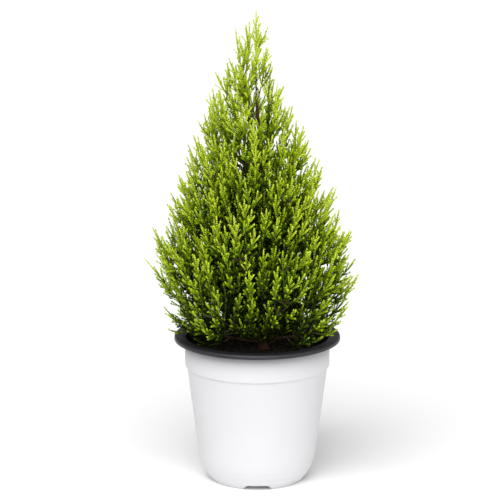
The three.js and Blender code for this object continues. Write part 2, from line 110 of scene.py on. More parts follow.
def new_shader(name, **values):
    """A material, its nodes and its Principled shader, with constants set on the shader's own sockets."""
    material = bpy.data.materials.new(name)
    material.use_nodes = True
    shader = material.node_tree.nodes["Principled BSDF"]
    for socket, value in values.items():
        shader.inputs[socket.replace("_", " ")].default_value = value
    return material, material.node_tree, shader


# %% Nodes and the hand-over of a piece
def put(tree, kind, inputs=None, **settings):
    """One node of a tree. Inputs go by identifier; each is a plain value or another node's output."""
    node = tree.nodes.new(kind)
    for setting, value in settings.items():
        setattr(node, setting, value)
    sockets = {socket.identifier: socket for socket in node.inputs}
    for key, value in (inputs or {}).items():
        if isinstance(value, bpy.types.NodeSocket):
            tree.links.new(value, sockets[key])
        else:
            sockets[key].default_value = value
    return node


def finish_piece(obj, slot, *nodes):
    """The piece moves with the whole plant and stands for solids; the slot is not used."""
    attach(obj, "root")
    if nodes:
        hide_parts(*nodes)
    triangles = sum(len(face.vertices) - 2 for face in obj.data.polygons)
    print(f"  {obj.name}: {triangles} triangles")


# %% [markdown]
# ## The pot
#
# The real pot is pressed from a thin sheet with two layers, white outside and black inside. At the top the
# sheet turns outwards into a flat rim with a short turned-down edge, so the black side shows there. A lathe
# is the natural way to shape it: draw half of the section, round its corners as a press does, and turn it
# about the axis. Each layer is its own closed section, half a wall thick.

# %% Sizes of the pot
POT_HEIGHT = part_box("pot")[1].z / MM
RIM_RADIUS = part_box("pot")[1].x / MM
RIM_DROP = 3.4  # depth of the turned-down edge
RIM_EDGE = 0.9  # bevel on top of that edge
RIM_THROAT = 1.5  # bevel from the rim into the wall
RIM_DRAFT = 0.2
WALL = 1.2  # both layers together
COLLAR_RADIUS = 56.8
COLLAR_DEPTH = 24  # from the rim down to the step
COLLAR_STEP = 1.6
COLLAR_DRAFT = 0.3
SHOULDER_RADIUS = 46.3
SHOULDER_HEIGHT = 22
SHOULDER_BULGE = 1.7
SHOULDER_DROP = 0.41  # height of the bulge as a share of the shoulder
SHOULDER_START = 0.06
SHOULDER_STEPS = 40
SHOULDER_RINGS = 4
SHOULDER_RING_DEPTH = 0.35
FOOT_RADIUS = 36
FOOT_WIDTH = 6
FOOT_HEIGHT = 4
FOOT_DRAFT = 1.5
FOOT_INSET = 0.4  # how much of a layer's inset the foot takes
NOTCH_COUNT = 4
NOTCH_WIDTH = 16
NOTCH_SPLAY = 3
NOTCH_HEIGHT = 3.6
LAYER_GAP = 0.04
print(f"pot: {POT_HEIGHT:.0f} mm high, {2 * RIM_RADIUS:.0f} mm across the rim")

# %% The section of the pot
CORNER_SHARE = 0.45  # the most of an edge that one rounding takes


def rounded(corners, radius=0.5, steps=4):
    """A broken line with its corners rounded. The ends stay."""
    corners = [np.array(corner, float) for corner in corners]
    path = [corners[0]]
    for before, corner, after in zip(corners, corners[1:], corners[2:]):
        back, on = before - corner, after - corner
        cut = min(radius, CORNER_SHARE * np.linalg.norm(back), CORNER_SHARE * np.linalg.norm(on))
        start = corner + back / np.linalg.norm(back) * cut
        end = corner + on / np.linalg.norm(on) * cut
        for t in np.linspace(0, 1, steps):
            path.append((1 - t) ** 2 * start + 2 * t * (1 - t) * corner + t * t * end)
    path.append(corners[-1])
    return path


def shoulder(inset, depth):
    """The rounded turn from the foot to the wall, with shallow pressed rings."""
    foot = np.array([FOOT_RADIUS + FOOT_INSET * inset, inset])
    bulge = np.array([SHOULDER_RADIUS - SHOULDER_BULGE - inset, SHOULDER_HEIGHT * SHOULDER_DROP + inset])
    top = np.array([SHOULDER_RADIUS - inset, SHOULDER_HEIGHT])
    path = []
    for t in np.linspace(SHOULDER_START, 1, SHOULDER_STEPS):
        place = (1 - t) ** 2 * foot + 2 * t * (1 - t) * bulge + t * t * top
        place[0] -= depth * (0.5 - 0.5 * math.cos(2 * math.pi * SHOULDER_RINGS * t)) * (1 - t)
        path.append(place)
    return path


def wall(inset):
    """The step in the upper wall, from the shoulder's slope out to the collar."""
    step = POT_HEIGHT - COLLAR_DEPTH
    collar = COLLAR_RADIUS - COLLAR_DRAFT - inset
    return [(collar - COLLAR_STEP, step - COLLAR_STEP), (collar, step)]


# %% Turning a section on the lathe
POT_SIDES = 192
ON_AXIS = 1e-6


def notch_roof(angle, radius):
    """Height of a foot notch above the floor at one place of the foot ring, or 0 beside it."""
    pitch = 2 * math.pi / NOTCH_COUNT
    aside = abs((angle + pitch / 2) % pitch - pitch / 2) * radius
    return NOTCH_HEIGHT * min(1, max(0, (NOTCH_WIDTH / 2 + NOTCH_SPLAY - aside) / NOTCH_SPLAY))


def lathe(name, section, material, notched=False):
    """A closed section turned about the upright axis. It starts and ends on the axis."""
    places, rings = [], []
    for radius, height in section:
        if radius < ON_AXIS:
            rings.append([len(places)] * POT_SIDES)
            places.append((0, 0, height))
            continue
        rings.append(range(len(places), len(places) + POT_SIDES))
        for side in range(POT_SIDES):
            angle = 2 * math.pi * side / POT_SIDES
            roof = notch_roof(angle, radius) if notched and height < NOTCH_HEIGHT else height
            places.append((radius * math.cos(angle), radius * math.sin(angle), max(height, roof)))
    faces = []
    for low, high in zip(rings, rings[1:]):
        for side in range(POT_SIDES):
            after = (side + 1) % POT_SIDES
            faces.append(list(dict.fromkeys([low[side], low[after], high[after], high[side]])))
    return new_piece(name, places, faces, material)


# %% [markdown]
# The white layer is a soft, slightly cool white with the faint unevenness of formed sheet. The black layer
# is a charcoal that picks up a soft gloss along the rim. Both patterns read Object coordinates, so that they
# sit still on the pot.

# %% The two finishes of the sheet
CLOUD_SCALE = 38.0  # soft patches some centimetres wide
GRAIN_SCALE = 900.0  # the fine grain of the sheet
GRAIN_DEPTH = 0.0002
SHINIER, DULLER = 0.06, 0.08  # how far the roughness wanders


def cloudy(tree, place, scale, detail):
    """A noise from 0 to 1 that follows a place."""
    return put(tree, "ShaderNodeTexNoise", {"Vector": place, "Scale": scale, "Detail": detail}).outputs["Fac"]


def sheet_finish(name, colour, other, roughness, bump):
    """A smooth finish between two colours, with uneven shine and a fine grain."""
    material, tree, shader = new_shader(name, Specular_IOR_Level=0.45)
    place = put(tree, "ShaderNodeTexCoord").outputs["Object"]
    cloud = cloudy(tree, place, CLOUD_SCALE, 3.0)
    grain = cloudy(tree, place, GRAIN_SCALE, 2.0)
    colours = {"Factor_Float": cloud, "A_Color": (*colour, 1), "B_Color": (*other, 1)}
    tint = put(tree, "ShaderNodeMix", colours, data_type="RGBA")
    limits = {"Value": cloud, "To Min": roughness - SHINIER, "To Max": roughness + DULLER}
    shine = put(tree, "ShaderNodeMapRange", limits)
    relief = put(tree, "ShaderNodeBump", {"Height": grain, "Strength": bump, "Distance": GRAIN_DEPTH})
    tinted = next(socket for socket in tint.outputs if socket.type == "RGBA")
    tree.links.new(tinted, shader.inputs["Base Color"])
    tree.links.new(shine.outputs["Result"], shader.inputs["Roughness"])
    tree.links.new(relief.outputs["Normal"], shader.inputs["Normal"])
    return material


white_sheet = sheet_finish("white sheet", (0.615, 0.615, 0.628), (0.64, 0.64, 0.653), 0.5, 0.12)
black_sheet = sheet_finish("black sheet", (0.009, 0.009, 0.012), (0.016, 0.016, 0.021), 0.42, 0.2)
print(f"finishes: {white_sheet.name} and {black_sheet.name}")

# %% [markdown]
# Each section is a list of corners, strung together from the axis under the floor of the pot, up the outside
# and back down the inside. The black layer is a hair's breadth clear of the white one, and it alone goes on
# over the rim.

# %% The two layers of the pot
HALF = WALL / 2
LINING_ROUND = 0.6
LINING_STEPS = 5
edge = RIM_RADIUS - RIM_DRAFT
under = POT_HEIGHT - WALL
bottom = FOOT_HEIGHT + HALF + LAYER_GAP
foot_inside = FOOT_RADIUS - FOOT_WIDTH

outer = [(0, FOOT_HEIGHT), (foot_inside - FOOT_DRAFT, FOOT_HEIGHT), (foot_inside, 0), (FOOT_RADIUS, 0)]
inner = [(0, FOOT_HEIGHT + HALF), (FOOT_RADIUS + HALF, FOOT_HEIGHT + HALF)]
white_section = [*rounded([*outer, shoulder(0, 0)[1]])[:-1], *shoulder(0, SHOULDER_RING_DEPTH)]
white_section += rounded([shoulder(0, 0)[-1], *wall(0), (COLLAR_RADIUS, under - LAYER_GAP)])[1:]
white_section += [(COLLAR_RADIUS - HALF, under - LAYER_GAP)]
white_section += [*reversed(wall(HALF)), shoulder(HALF, 0)[-1], *reversed(inner)]
white_layer = lathe("pot_white_layer", white_section, white_sheet, notched=True)

lining = [(0, bottom), (FOOT_RADIUS + HALF - LAYER_GAP, bottom)]
lining += [shoulder(HALF + LAYER_GAP, 0)[-1], *wall(HALF + LAYER_GAP)]
lining += [(COLLAR_RADIUS - HALF - LAYER_GAP, under), (edge - WALL, under)]
lining += [(RIM_RADIUS - WALL, POT_HEIGHT - RIM_DROP), (RIM_RADIUS, POT_HEIGHT - RIM_DROP)]
lining += [(edge, POT_HEIGHT - RIM_EDGE), (edge - RIM_EDGE, POT_HEIGHT)]
lining += [(COLLAR_RADIUS - WALL + RIM_THROAT, POT_HEIGHT), (COLLAR_RADIUS - WALL, POT_HEIGHT - RIM_THROAT)]
lining += [*reversed(wall(WALL)), shoulder(WALL, 0)[-1]]
lining += [(FOOT_RADIUS + WALL, FOOT_HEIGHT + WALL), (0, FOOT_HEIGHT + WALL)]
black_layer = lathe("pot_black_layer", rounded(lining, LINING_ROUND, LINING_STEPS), black_sheet)
print("pot: two layers")
finish_piece(white_layer, "pot_shell", "pot")
finish_piece(black_layer, "pot_shell")

# %% [markdown]
# ## The soil
#
# The compost is dark, moist peat. Its solid is right as it is, so it stays and gets a better finish. One
# noise gives both the tones and the bump, so that dark places are also deep ones: the peat's own mottling
# and a painted shade in the hollows. The bark will use the same helper later, with its noise drawn out along
# the limb.


# %% The finish of the soil
def grained_finish(name, grain, dark, light, relief, **shine):
    """A rough finish. Grain is stretch, scale and detail; a tone is a place and a colour; relief is bump."""
    material, tree, shader = new_shader(name, **shine)
    place = put(tree, "ShaderNodeTexCoord").outputs["Object"]
    drawn = put(tree, "ShaderNodeMapping", {"Vector": place, "Scale": grain[0]}).outputs["Vector"]
    cloud = cloudy(tree, drawn, grain[1], grain[2])
    # The same noise sets colour and bump, so the dark tone lies in the hollows: painted shade along with the
    # material's own mottling.
    tint = put(tree, "ShaderNodeValToRGB", {"Fac": cloud})
    for stop, (position, colour) in zip(tint.color_ramp.elements, (dark, light)):
        stop.position = position
        stop.color = (*colour, 1)
    bump = put(tree, "ShaderNodeBump", {"Height": cloud, "Strength": relief[0], "Distance": relief[1]})
    tree.links.new(tint.outputs["Color"], shader.inputs["Base Color"])
    tree.links.new(bump.outputs["Normal"], shader.inputs["Normal"])
    return material


earth = grained_finish(
    "moist peat",
    grain=((1, 1, 1), 220.0, 5.0),
    dark=(0.35, (0.006, 0.0045, 0.003)),
    light=(0.75, (0.035, 0.024, 0.015)),
    relief=(0.8, 0.0015),
    Roughness=0.95,
    Specular_IOR_Level=0.2,
)
soil_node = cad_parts["soil"]
soil_node.data.materials.clear()
soil_node.data.materials.append(earth)
print(f"soil: its solid wears {earth.name}")

# %% [markdown]
# Loose crumbs on top of the soil are what the eye sees of it. Thousands of them are a job for Geometry Nodes:
# a tree scatters points over a surface and sets a crumb of chance size and turn on each. Three helpers start
# a tree with named inputs, end it with real meshes and a material, and run it once to get a plain mesh.


# %% Making and running a node tree
def new_tree(name, **inputs):
    """An empty geometry tree with named inputs, and the sockets of its group input."""
    tree = bpy.data.node_groups.new(name, "GeometryNodeTree")
    tree.interface.new_socket("Geometry", in_out="INPUT", socket_type="NodeSocketGeometry")
    for label, kind in inputs.items():
        tree.interface.new_socket(label.replace("_", " "), in_out="INPUT", socket_type=f"NodeSocket{kind}")
    tree.interface.new_socket("Geometry", in_out="OUTPUT", socket_type="NodeSocketGeometry")
    entry = tree.nodes.new("NodeGroupInput")
    return tree, {socket.name: socket for socket in entry.outputs}


def close_tree(tree, geometry, material):
    """Every tree ends the same way: real meshes in place of instances, then their material."""
    real = put(tree, "GeometryNodeRealizeInstances", {"Geometry": geometry})
    worn = put(tree, "GeometryNodeSetMaterial", {"Geometry": real.outputs["Geometry"], "Material": material})
    leave = tree.nodes.new("NodeGroupOutput")
    tree.links.new(worn.outputs["Geometry"], leave.inputs[0])


def run_tree(name, source, tree, **values):
    """The mesh that a tree makes from a source object, as a plain piece. The source is removed."""
    modifier = source.modifiers.new("make", "NODES")
    modifier.node_group = tree
    sockets = {item.name: item.identifier for item in tree.interface.items_tree if item.in_out == "INPUT"}
    for label, value in values.items():
        modifier[sockets[label.replace("_", " ")]] = value
    bpy.context.view_layer.update()
    made = source.evaluated_get(bpy.context.evaluated_depsgraph_get())
    mesh = bpy.data.meshes.new_from_object(made)
    mesh.name = name
    data = source.data
    source.modifiers.clear()
    bpy.data.objects.remove(source)
    (bpy.data.curves if isinstance(data, bpy.types.Curve) else bpy.data.meshes).remove(data)
    return link(bpy.data.objects.new(name, mesh))


# %% A node tree that scatters crumbs
FLATTEST_CRUMB = (0.6, 0.6, 0.5)
ROUNDEST_CRUMB = (1.5, 1.2, 0.9)
SHAPE_SEED, TURN_SEED = 5, 9


def chance(tree, low, high, seed):
    """A seeded chance value: a vector between two vectors, or a number between two inputs."""
    if isinstance(high, tuple):
        limits = {"Min": low, "Max": high, "Seed": seed}
        return put(tree, "FunctionNodeRandomValue", limits, data_type="FLOAT_VECTOR").outputs[0]
    return put(tree, "FunctionNodeRandomValue", {"Min_001": low, "Max_001": high, "Seed": seed}).outputs[1]


def crumb_tree():
    kinds = {"Density": "Float", "Largest": "Float", "Smallest": "Float", "Seed": "Int"}
    tree, given = new_tree("crumbs", **kinds, Material="Material")
    bed_inputs = {"Mesh": given["Geometry"], "Density": given["Density"], "Seed": given["Seed"]}
    spots = put(tree, "GeometryNodeDistributePointsOnFaces", bed_inputs)
    crumb = put(tree, "GeometryNodeMeshIcoSphere", {"Radius": 1.0, "Subdivisions": 1})
    size = chance(tree, given["Smallest"], given["Largest"], given["Seed"])
    shape = chance(tree, FLATTEST_CRUMB, ROUNDEST_CRUMB, SHAPE_SEED)
    scale = put(tree, "ShaderNodeVectorMath", {"Vector": shape, "Scale": size}, operation="SCALE")
    turn = chance(tree, (0, 0, 0), (2 * math.pi,) * 3, TURN_SEED)
    crumbs = put(
        tree,
        "GeometryNodeInstanceOnPoints",
        {
            "Points": spots.outputs["Points"],
            "Instance": crumb.outputs["Mesh"],
            "Rotation": put(tree, "FunctionNodeEulerToRotation", {"Euler": turn}).outputs[0],
            "Scale": scale.outputs[0],
        },
    )
    close_tree(tree, crumbs.outputs["Instances"], given["Material"])
    return tree


# %% Crumbs on the soil
SOIL_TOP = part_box("soil")[1].z / MM
SOIL_EDGE = 1.2  # crumbs stay this far from the edge of the soil
SOIL_FALL = 1.5
BED_SIDES = 48
CRUMB_DENSITY = 3.4e5  # in a square metre
CRUMB_LARGEST, CRUMB_SMALLEST = 1.9, 0.5
CRUMB_SEED = 3

soil_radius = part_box("soil")[1].x / MM - SOIL_EDGE
bed_places = [(0, 0, SOIL_TOP)]
for side in range(BED_SIDES):
    angle = 2 * math.pi * side / BED_SIDES
    bed_places.append((soil_radius * math.cos(angle), soil_radius * math.sin(angle), SOIL_TOP - SOIL_FALL))
bed_faces = [(0, 1 + side, 1 + (side + 1) % BED_SIDES) for side in range(BED_SIDES)]
crumbs = run_tree(
    "soil_crumbs",
    new_piece("bed", bed_places, bed_faces, earth),
    crumb_tree(),
    Density=CRUMB_DENSITY,
    Largest=CRUMB_LARGEST * MM,
    Smallest=CRUMB_SMALLEST * MM,
    Seed=CRUMB_SEED,
    Material=earth,
)
print("soil: loose crumbs")
finish_piece(crumbs, "soil")

# %% [markdown]
# ## The rule of growth
#
# The crown is a loose cone of plumes. A plume is a line of growth that leaves the trunk, bends upwards, and
# ends on the crown's outline. The lines are set round the trunk by the golden angle, and a few inner ones
# fill the middle. The first part of a low line is a bare bough, and the rest is a mass of foliage. These
# are the sizes and the formulas of the solids, written again, so that what grows here fills the same space.

# %% Sizes of the trunk and the crown
TRUNK_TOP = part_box("trunk")[1].z / MM - SOIL_TOP
CROWN_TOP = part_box("foliage_leader")[1].z / MM - SOIL_TOP
TRUNK_FOOT_X = 5
TRUNK_TOP_X = -1
TRUNK_SWAY = 2.2
TRUNK_WAVES = 1
TRUNK_SIDE_WAVES = 0.8
TRUNK_RADIUS = 3.5
TRUNK_TIP_RADIUS = 0.9
FLARE_RADIUS = 1.9
FLARE_HEIGHT = 7
GAP = 0.3  # between neighbouring solids
CROWN_WIDEST = 80  # height of the widest place
CROWN_RADIUS = 77
CROWN_FOOT_RADIUS = 64
CROWN_TAPER = 1.15
CROWN_SHIFT = 9  # the crown leans to the left by this much
print(f"crown: {CROWN_TOP:.0f} mm high, {2 * CROWN_RADIUS} mm across")

# %% Sizes of the plumes
PLUME_COUNT = 26
BOUGH_COUNT = len(limbs)
INNER_COUNT = 10
FIRST_AZIMUTH = 3.25
GOLDEN_ANGLE = math.pi * (3 - math.sqrt(5))
LOWEST_TIP, HIGHEST_TIP = 28, 238
LOWEST_FORK = 6
FORK_SPACING = 2.3
LOW_SLOPE, HIGH_SLOPE = 0.4, 3
REACH_SPREAD = 0.06
BEND_OUT = 0.68
BEND_UP = 0.26
BARE_SHARE = 0.3  # of a low plume
BOUGH_RADIUS = 0.8
BOUGH_GROWTH = 0.011  # radius for each millimetre of length
FORK_SHARE = 0.72  # the most of the trunk's radius that a bough has
CO_LEADER = {"azimuth": 3.25, "fork": 182, "reach": 14, "tip": 254}
INNER_CHOICES = 24
INNER_CLEAR = 0.06
LOWEST_INNER, HIGHEST_INNER = 18, 164
INNER_RISE = 58
INNER_REACH = 0.42
print(f"plumes: {PLUME_COUNT} round the outside, {INNER_COUNT} inside and two leaders")

# %% [markdown]
# Every limb, twig and leaf follows a line in space. A small class keeps such a line as points at even steps,
# so that any share of its length gives a place, and it turns a pair of square directions along with it as
# little as it can. Chance comes from a formula with keys, so each run grows the same plant.

# %% Chance and mixing
SEED = 7
KEY_A, KEY_B, KEY_C, KEY_SCALE = 12.9898, 78.233, 37.719, 43758.5453
UP = np.array([0.0, 0.0, 1.0])


def draw(a, b, c):
    """A number from 0 to 1 that looks random and is always the same for the same keys."""
    value = math.sin(SEED + a * KEY_A + b * KEY_B + c * KEY_C) * KEY_SCALE
    return value - math.floor(value)


def mix(a, b, share):
    return a + (b - a) * share


def unit(vector):
    return vector / np.linalg.norm(vector)


# %% Lines
SAMPLES = 24
LOOK = 0.01  # share of a line over which its direction is taken


class Line:
    """A curve, kept as points at even steps of its length."""

    SHARES = np.linspace(0, 1, 101)

    def __init__(self, points):
        points = np.asarray(points, float)
        reach = np.concatenate([[0], np.cumsum(np.linalg.norm(np.diff(points, axis=0), axis=1))])
        self.length = reach[-1]
        steps = self.SHARES * self.length
        self.points = np.stack([np.interp(steps, reach, points[:, k]) for k in range(3)], axis=1)

    def at(self, share):
        return np.stack([np.interp(share, self.SHARES, self.points[:, k]) for k in range(3)], axis=-1)

    def along(self, share):
        low, high = max(0.0, share - LOOK), min(1.0, share + LOOK)
        return unit(self.at(high) - self.at(low))

    def stretch(self, low, high):
        return Line(self.at(np.linspace(low, high, len(self.SHARES))))

    def samples(self, low=0.0, high=1.0):
        return self.at(np.linspace(low, high, SAMPLES + 1))

    def frames(self):
        """Two directions square to the line at each of its points."""
        ahead = [self.along(share) for share in self.SHARES]
        axis = np.zeros(3)
        axis[2 - np.argmin(np.abs(ahead[0])[::-1])] = 1
        normals = [np.cross(ahead[0], unit(np.cross(ahead[0], axis)))]
        for after in ahead[1:]:
            normal = normals[-1] - after * np.dot(normals[-1], after)
            normals.append(unit(normal))
        return np.array(normals), np.cross(ahead, normals)


def around(normals, binormals, step, angle):
    """The direction away from a line at one of its points, turned by an angle."""
    return normals[step] * math.cos(angle) + binormals[step] * math.sin(angle)


def bent(start, bend, end):
    """A quadratic curve."""
    t = Line.SHARES[:, None]
    return Line((1 - t) ** 2 * start + 2 * t * (1 - t) * bend + t * t * end)


# %% Trunk and crown
def trunk_centre(height):
    share = height / TRUNK_TOP
    sway = TRUNK_SWAY * math.sin(2 * math.pi * TRUNK_WAVES * share)
    side = TRUNK_SWAY * math.sin(2 * math.pi * TRUNK_SIDE_WAVES * share)
    return np.array([mix(TRUNK_FOOT_X, TRUNK_TOP_X, share) - sway, side, height])


def trunk_radius(height):
    flare = FLARE_RADIUS * max(0, 1 - height / FLARE_HEIGHT) ** 2
    return mix(TRUNK_RADIUS, TRUNK_TIP_RADIUS, height / TRUNK_TOP) + flare


def crown_radius(height):
    if height > CROWN_WIDEST:
        share = min(1, (height - CROWN_WIDEST) / (CROWN_TOP - CROWN_WIDEST))
        return CROWN_RADIUS * (1 - share**CROWN_TAPER)
    share = (CROWN_WIDEST - height) / CROWN_WIDEST
    return CROWN_RADIUS - (CROWN_RADIUS - CROWN_FOOT_RADIUS) * share**2


def crown_centre(height):
    share = min(1, max(0, height / CROWN_TOP))
    return np.array([-CROWN_SHIFT * math.sin(math.pi * share**2), 0, height])


# %% Plumes
class Plume:
    """A line of growth from the trunk to the outline, with its thickness and its bare first part."""

    def __init__(self, bare, azimuth, fork, reach, tip):
        start = trunk_centre(fork)
        end = crown_centre(tip) + reach * np.array([math.cos(azimuth), math.sin(azimuth), 0])
        bend = mix(start, end, np.array([BEND_OUT, BEND_OUT, BEND_UP]))
        self.line = bent(start, bend, end)
        self.radius = min(BOUGH_RADIUS + BOUGH_GROWTH * self.line.length, FORK_SHARE * trunk_radius(fork))
        self.bare = bare
        self.forked = bare == 0


def outer_plume(index):
    share = index / (PLUME_COUNT - 1)
    tip = mix(LOWEST_TIP, HIGHEST_TIP, share)
    reach = crown_radius(tip) * (1 + REACH_SPREAD * (2 * draw(index, 0, 1) - 1))
    slope = mix(LOW_SLOPE, HIGH_SLOPE, share)
    fork = max(tip - reach * slope, LOWEST_FORK + FORK_SPACING * index)
    bare = BARE_SHARE if index < BOUGH_COUNT else 0
    return Plume(bare, FIRST_AZIMUTH + GOLDEN_ANGLE * index, fork, reach, tip)


def least_distance(points, places):
    """The distance from each place to the nearest of some points."""
    return np.sqrt(((places[:, None, :] - points[None, :, :]) ** 2).sum(-1).min(1))


def inner_plume(index, others):
    """It leaves the trunk on the side where the other plumes leave it the most room."""
    fork = mix(LOWEST_INNER, HIGHEST_INNER, index / (INNER_COUNT - 1))
    tip = fork + INNER_RISE
    reach = INNER_REACH * crown_radius(tip)
    choices = [Plume(0, 2 * math.pi * i / INNER_CHOICES, fork, reach, tip) for i in range(INNER_CHOICES)]
    rooms = [least_distance(others, choice.line.samples(INNER_CLEAR)).min() for choice in choices]
    return choices[int(np.argmax(rooms))]


def leader_plume():
    """The plume that goes straight on from the top of the trunk."""
    foot = trunk_centre(TRUNK_TOP + GAP)
    leader = Plume(0, 0, TRUNK_TOP, 0, CROWN_TOP)
    leader.line = Line(np.array([foot, [foot[0], foot[1], CROWN_TOP]]))
    leader.radius = TRUNK_TIP_RADIUS
    leader.forked = False
    return leader


# %% All the plumes
plumes = [outer_plume(index) for index in range(PLUME_COUNT)]
plumes += [Plume(0, **CO_LEADER), leader_plume()]
for index in range(INNER_COUNT):
    taken = np.concatenate([each.line.samples(INNER_CLEAR) for each in plumes])
    plumes.append(inner_plume(index, taken))
print(f"growth: {len(plumes)} plumes")

# %% [markdown]
# ## Bark
#
# The trunk and the boughs have thin, reddish-brown bark that splits into narrow upright strips. A tube along
# each limb's line would look turned on a machine, so its corners are pushed in and out by a noise that is
# long up the limb and short round it. The shader goes on with the same strips in colour and in bump, so the
# furrows are darker, partly their own colour and partly painted shade.

# %% The finish of the bark
bark = grained_finish(
    "cypress bark",
    grain=((1, 1, 0.18), 900.0, 4.0),
    dark=(0.3, (0.02, 0.01, 0.006)),
    light=(0.72, (0.10, 0.047, 0.024)),
    relief=(0.7, 0.0004),
    Roughness=0.85,
    Specular_IOR_Level=0.25,
)
print(f"finish: {bark.name}")

# %% A limb with strips of bark
STRIP_DEPTH = 0.16
STRIPS = 5.0
STRIP_LENGTH = 14.0


def barked(line, radius_at, sides, rings):
    """Corners and faces of a limb with upright strips of bark, closed at both ends."""
    normals, binormals = line.frames()
    places, faces = [], []
    for ring in range(rings + 1):
        share = ring / rings
        centre = line.at(share)
        step = int(round(share * (len(Line.SHARES) - 1)))
        for side in range(sides):
            angle = 2 * math.pi * side / sides
            spot = STRIPS * math.cos(angle), STRIPS * math.sin(angle), share * line.length / STRIP_LENGTH
            swell = 1 + STRIP_DEPTH * noise.noise(spot)
            places.append(centre + around(normals, binormals, step, angle) * radius_at(share) * swell)
    for ring in range(rings):
        for side in range(sides):
            after = (side + 1) % sides
            low, high = ring * sides, (ring + 1) * sides
            faces.append((low + side, low + after, high + after, high + side))
    faces.append(tuple(reversed(range(sides))))
    faces.append(tuple(range(rings * sides, (rings + 1) * sides)))
    return places, faces


def joined(parts):
    """Several sets of corners and faces as one."""
    places, faces = [], []
    for more_places, more_faces in parts:
        start = len(places)
        places.extend(more_places)
        faces.extend(tuple(start + corner for corner in face) for face in more_faces)
    return places, faces


def above_soil(places):
    return np.asarray(places) + (0, 0, SOIL_TOP)


# %% Trunk and boughs
STEM_SHARE = 0.93  # of a plume that is wood
STEM_TIP_RADIUS = 0.7
TRUNK_SIDES, TRUNK_RINGS, TRUNK_STEPS = 28, 160, 120
BOUGH_SIDES, BOUGH_RINGS = 12, 24
OVERLAP = 0.01  # share by which one stretch of wood runs on into the next


def wood_radius(plume, share):
    return mix(plume.radius, STEM_TIP_RADIUS, min(1, share / STEM_SHARE))


def bough(plume):
    """The bare first part of a plume."""
    bare_wood = plume.line.stretch(0, plume.bare + OVERLAP)
    return barked(bare_wood, lambda share: wood_radius(plume, share * plume.bare), BOUGH_SIDES, BOUGH_RINGS)


trunk_line = Line([trunk_centre(height) for height in np.linspace(0, TRUNK_TOP + GAP, TRUNK_STEPS)])
places, faces = barked(trunk_line, lambda share: trunk_radius(share * TRUNK_TOP), TRUNK_SIDES, TRUNK_RINGS)
trunk_piece = new_piece("trunk_bark", above_soil(places), faces, bark)
places, faces = joined([bough(plume) for plume in plumes[:BOUGH_COUNT]])
bough_piece = new_piece("bough_bark", above_soil(places), faces, bark)
print("bark: trunk and boughs")
finish_piece(trunk_piece, "bark", "trunk")
finish_piece(bough_piece, "bark", *limbs)

# %% [markdown]
# ## Room to grow
#
# Each mass keeps to the points that lie nearest to its own stem, clear of the wood and of the pot, and inside
# the crown's outline. A shoot that would leave that room is tried again shorter, or left out.

# %% The room of each mass
LEAF_ROOM = 0.5
OUTLINE_ROOM = 1
SPIRE_ROOM = 7
SHOOT_RADIUS = 1.4
SOIL_DEPTH = POT_HEIGHT - SOIL_TOP

stem_points = np.array([each.line.samples(each.bare) for each in plumes])
bare_plumes = [each for each in plumes if each.bare > 0]
trunk_heights = np.arange(0, TRUNK_TOP, TRUNK_RADIUS / 2)
wood_points = [each.line.samples(0, each.bare) for each in bare_plumes]
wood_points = np.concatenate([*wood_points, [trunk_centre(height) for height in trunk_heights]])
wood_radii = [np.full(SAMPLES + 1, each.radius) for each in bare_plumes]
wood_radii = np.concatenate([*wood_radii, [trunk_radius(height) for height in trunk_heights]])
print(f"room: {len(stem_points)} stems, and {len(wood_points)} points of bare wood to keep clear of")


# %% Tests of that room
def in_own_space(places, own):
    gaps = ((places[:, None, None, :] - stem_points[None]) ** 2).sum(-1).min(-1)
    mine = np.sqrt(gaps[:, own]) + 2 * LEAF_ROOM
    gaps[:, own] = np.inf
    return bool((np.sqrt(gaps.min(1)) >= mine).all())


def clear_of_wood(places):
    gaps = np.sqrt(((places[:, None, :] - wood_points[None]) ** 2).sum(-1)) - wood_radii
    return bool((gaps >= LEAF_ROOM).all())


def clear_of_pot(places):
    """For each place, whether it is above the rim, or inside the pot and above the soil."""
    high = places[:, 2] > SOIL_DEPTH + LEAF_ROOM + SHOOT_RADIUS
    inside = np.hypot(places[:, 0], places[:, 1]) < COLLAR_RADIUS - 2 * WALL
    return high | (inside & (places[:, 2] > SHOOT_RADIUS + LEAF_ROOM))


def inside_crown(places, own):
    for place in places:
        if place[2] > CROWN_TOP:
            return False
        radius = math.hypot(*(place - crown_centre(place[2]))[:2])
        if radius <= crown_radius(place[2]) * (1 + REACH_SPREAD) + OUTLINE_ROOM:
            continue
        if least_distance(stem_points[own], place[None])[0] >= SPIRE_ROOM:
            return False
    return True


def fits(places, own):
    free = clear_of_pot(places).all() and inside_crown(places, own)
    return free and clear_of_wood(places) and in_own_space(places, own)


# %% [markdown]
# ## Stems and shoots
#
# A stem buds in turn all the way round. Its lower buds grow shoots, which leave it at an angle and bend up
# beside it. The solids stop there, with a point for each spray that stands off a stem or a shoot. The sides
# and rings of their twigs are kept here, because they set where the buds are.

# %% Twigs and their buds
TWIG_SIDES = 3
TWIG_TWIST = 0.35  # turn of each ring against the one below
STEM_RINGS, SHOOT_RINGS = 8, 5


class Twig:
    """A stem or a shoot: its line, its wood, and the directions in which it buds."""

    def __init__(self, line, whole, thick, thin, rings):
        self.line, self.whole = line, whole
        self.thick, self.thin, self.rings = thick, thin, rings
        self.points = line.samples()
        self.normals, self.binormals = line.frames()

    def out(self, share, angle):
        step = int(round(share * (len(Line.SHARES) - 1)))
        return around(self.normals, self.binormals, step, angle + share * self.rings * TWIG_TWIST)

    def radius(self, share):
        return mix(self.thick, self.thin, share)

    def bud(self, share, side):
        """Place, direction along the twig, and direction away from it."""
        out = self.out(share, 2 * math.pi * (side + 0.5) / TWIG_SIDES)
        return self.line.at(share) + out * self.radius(share) / 2, self.line.along(share), out


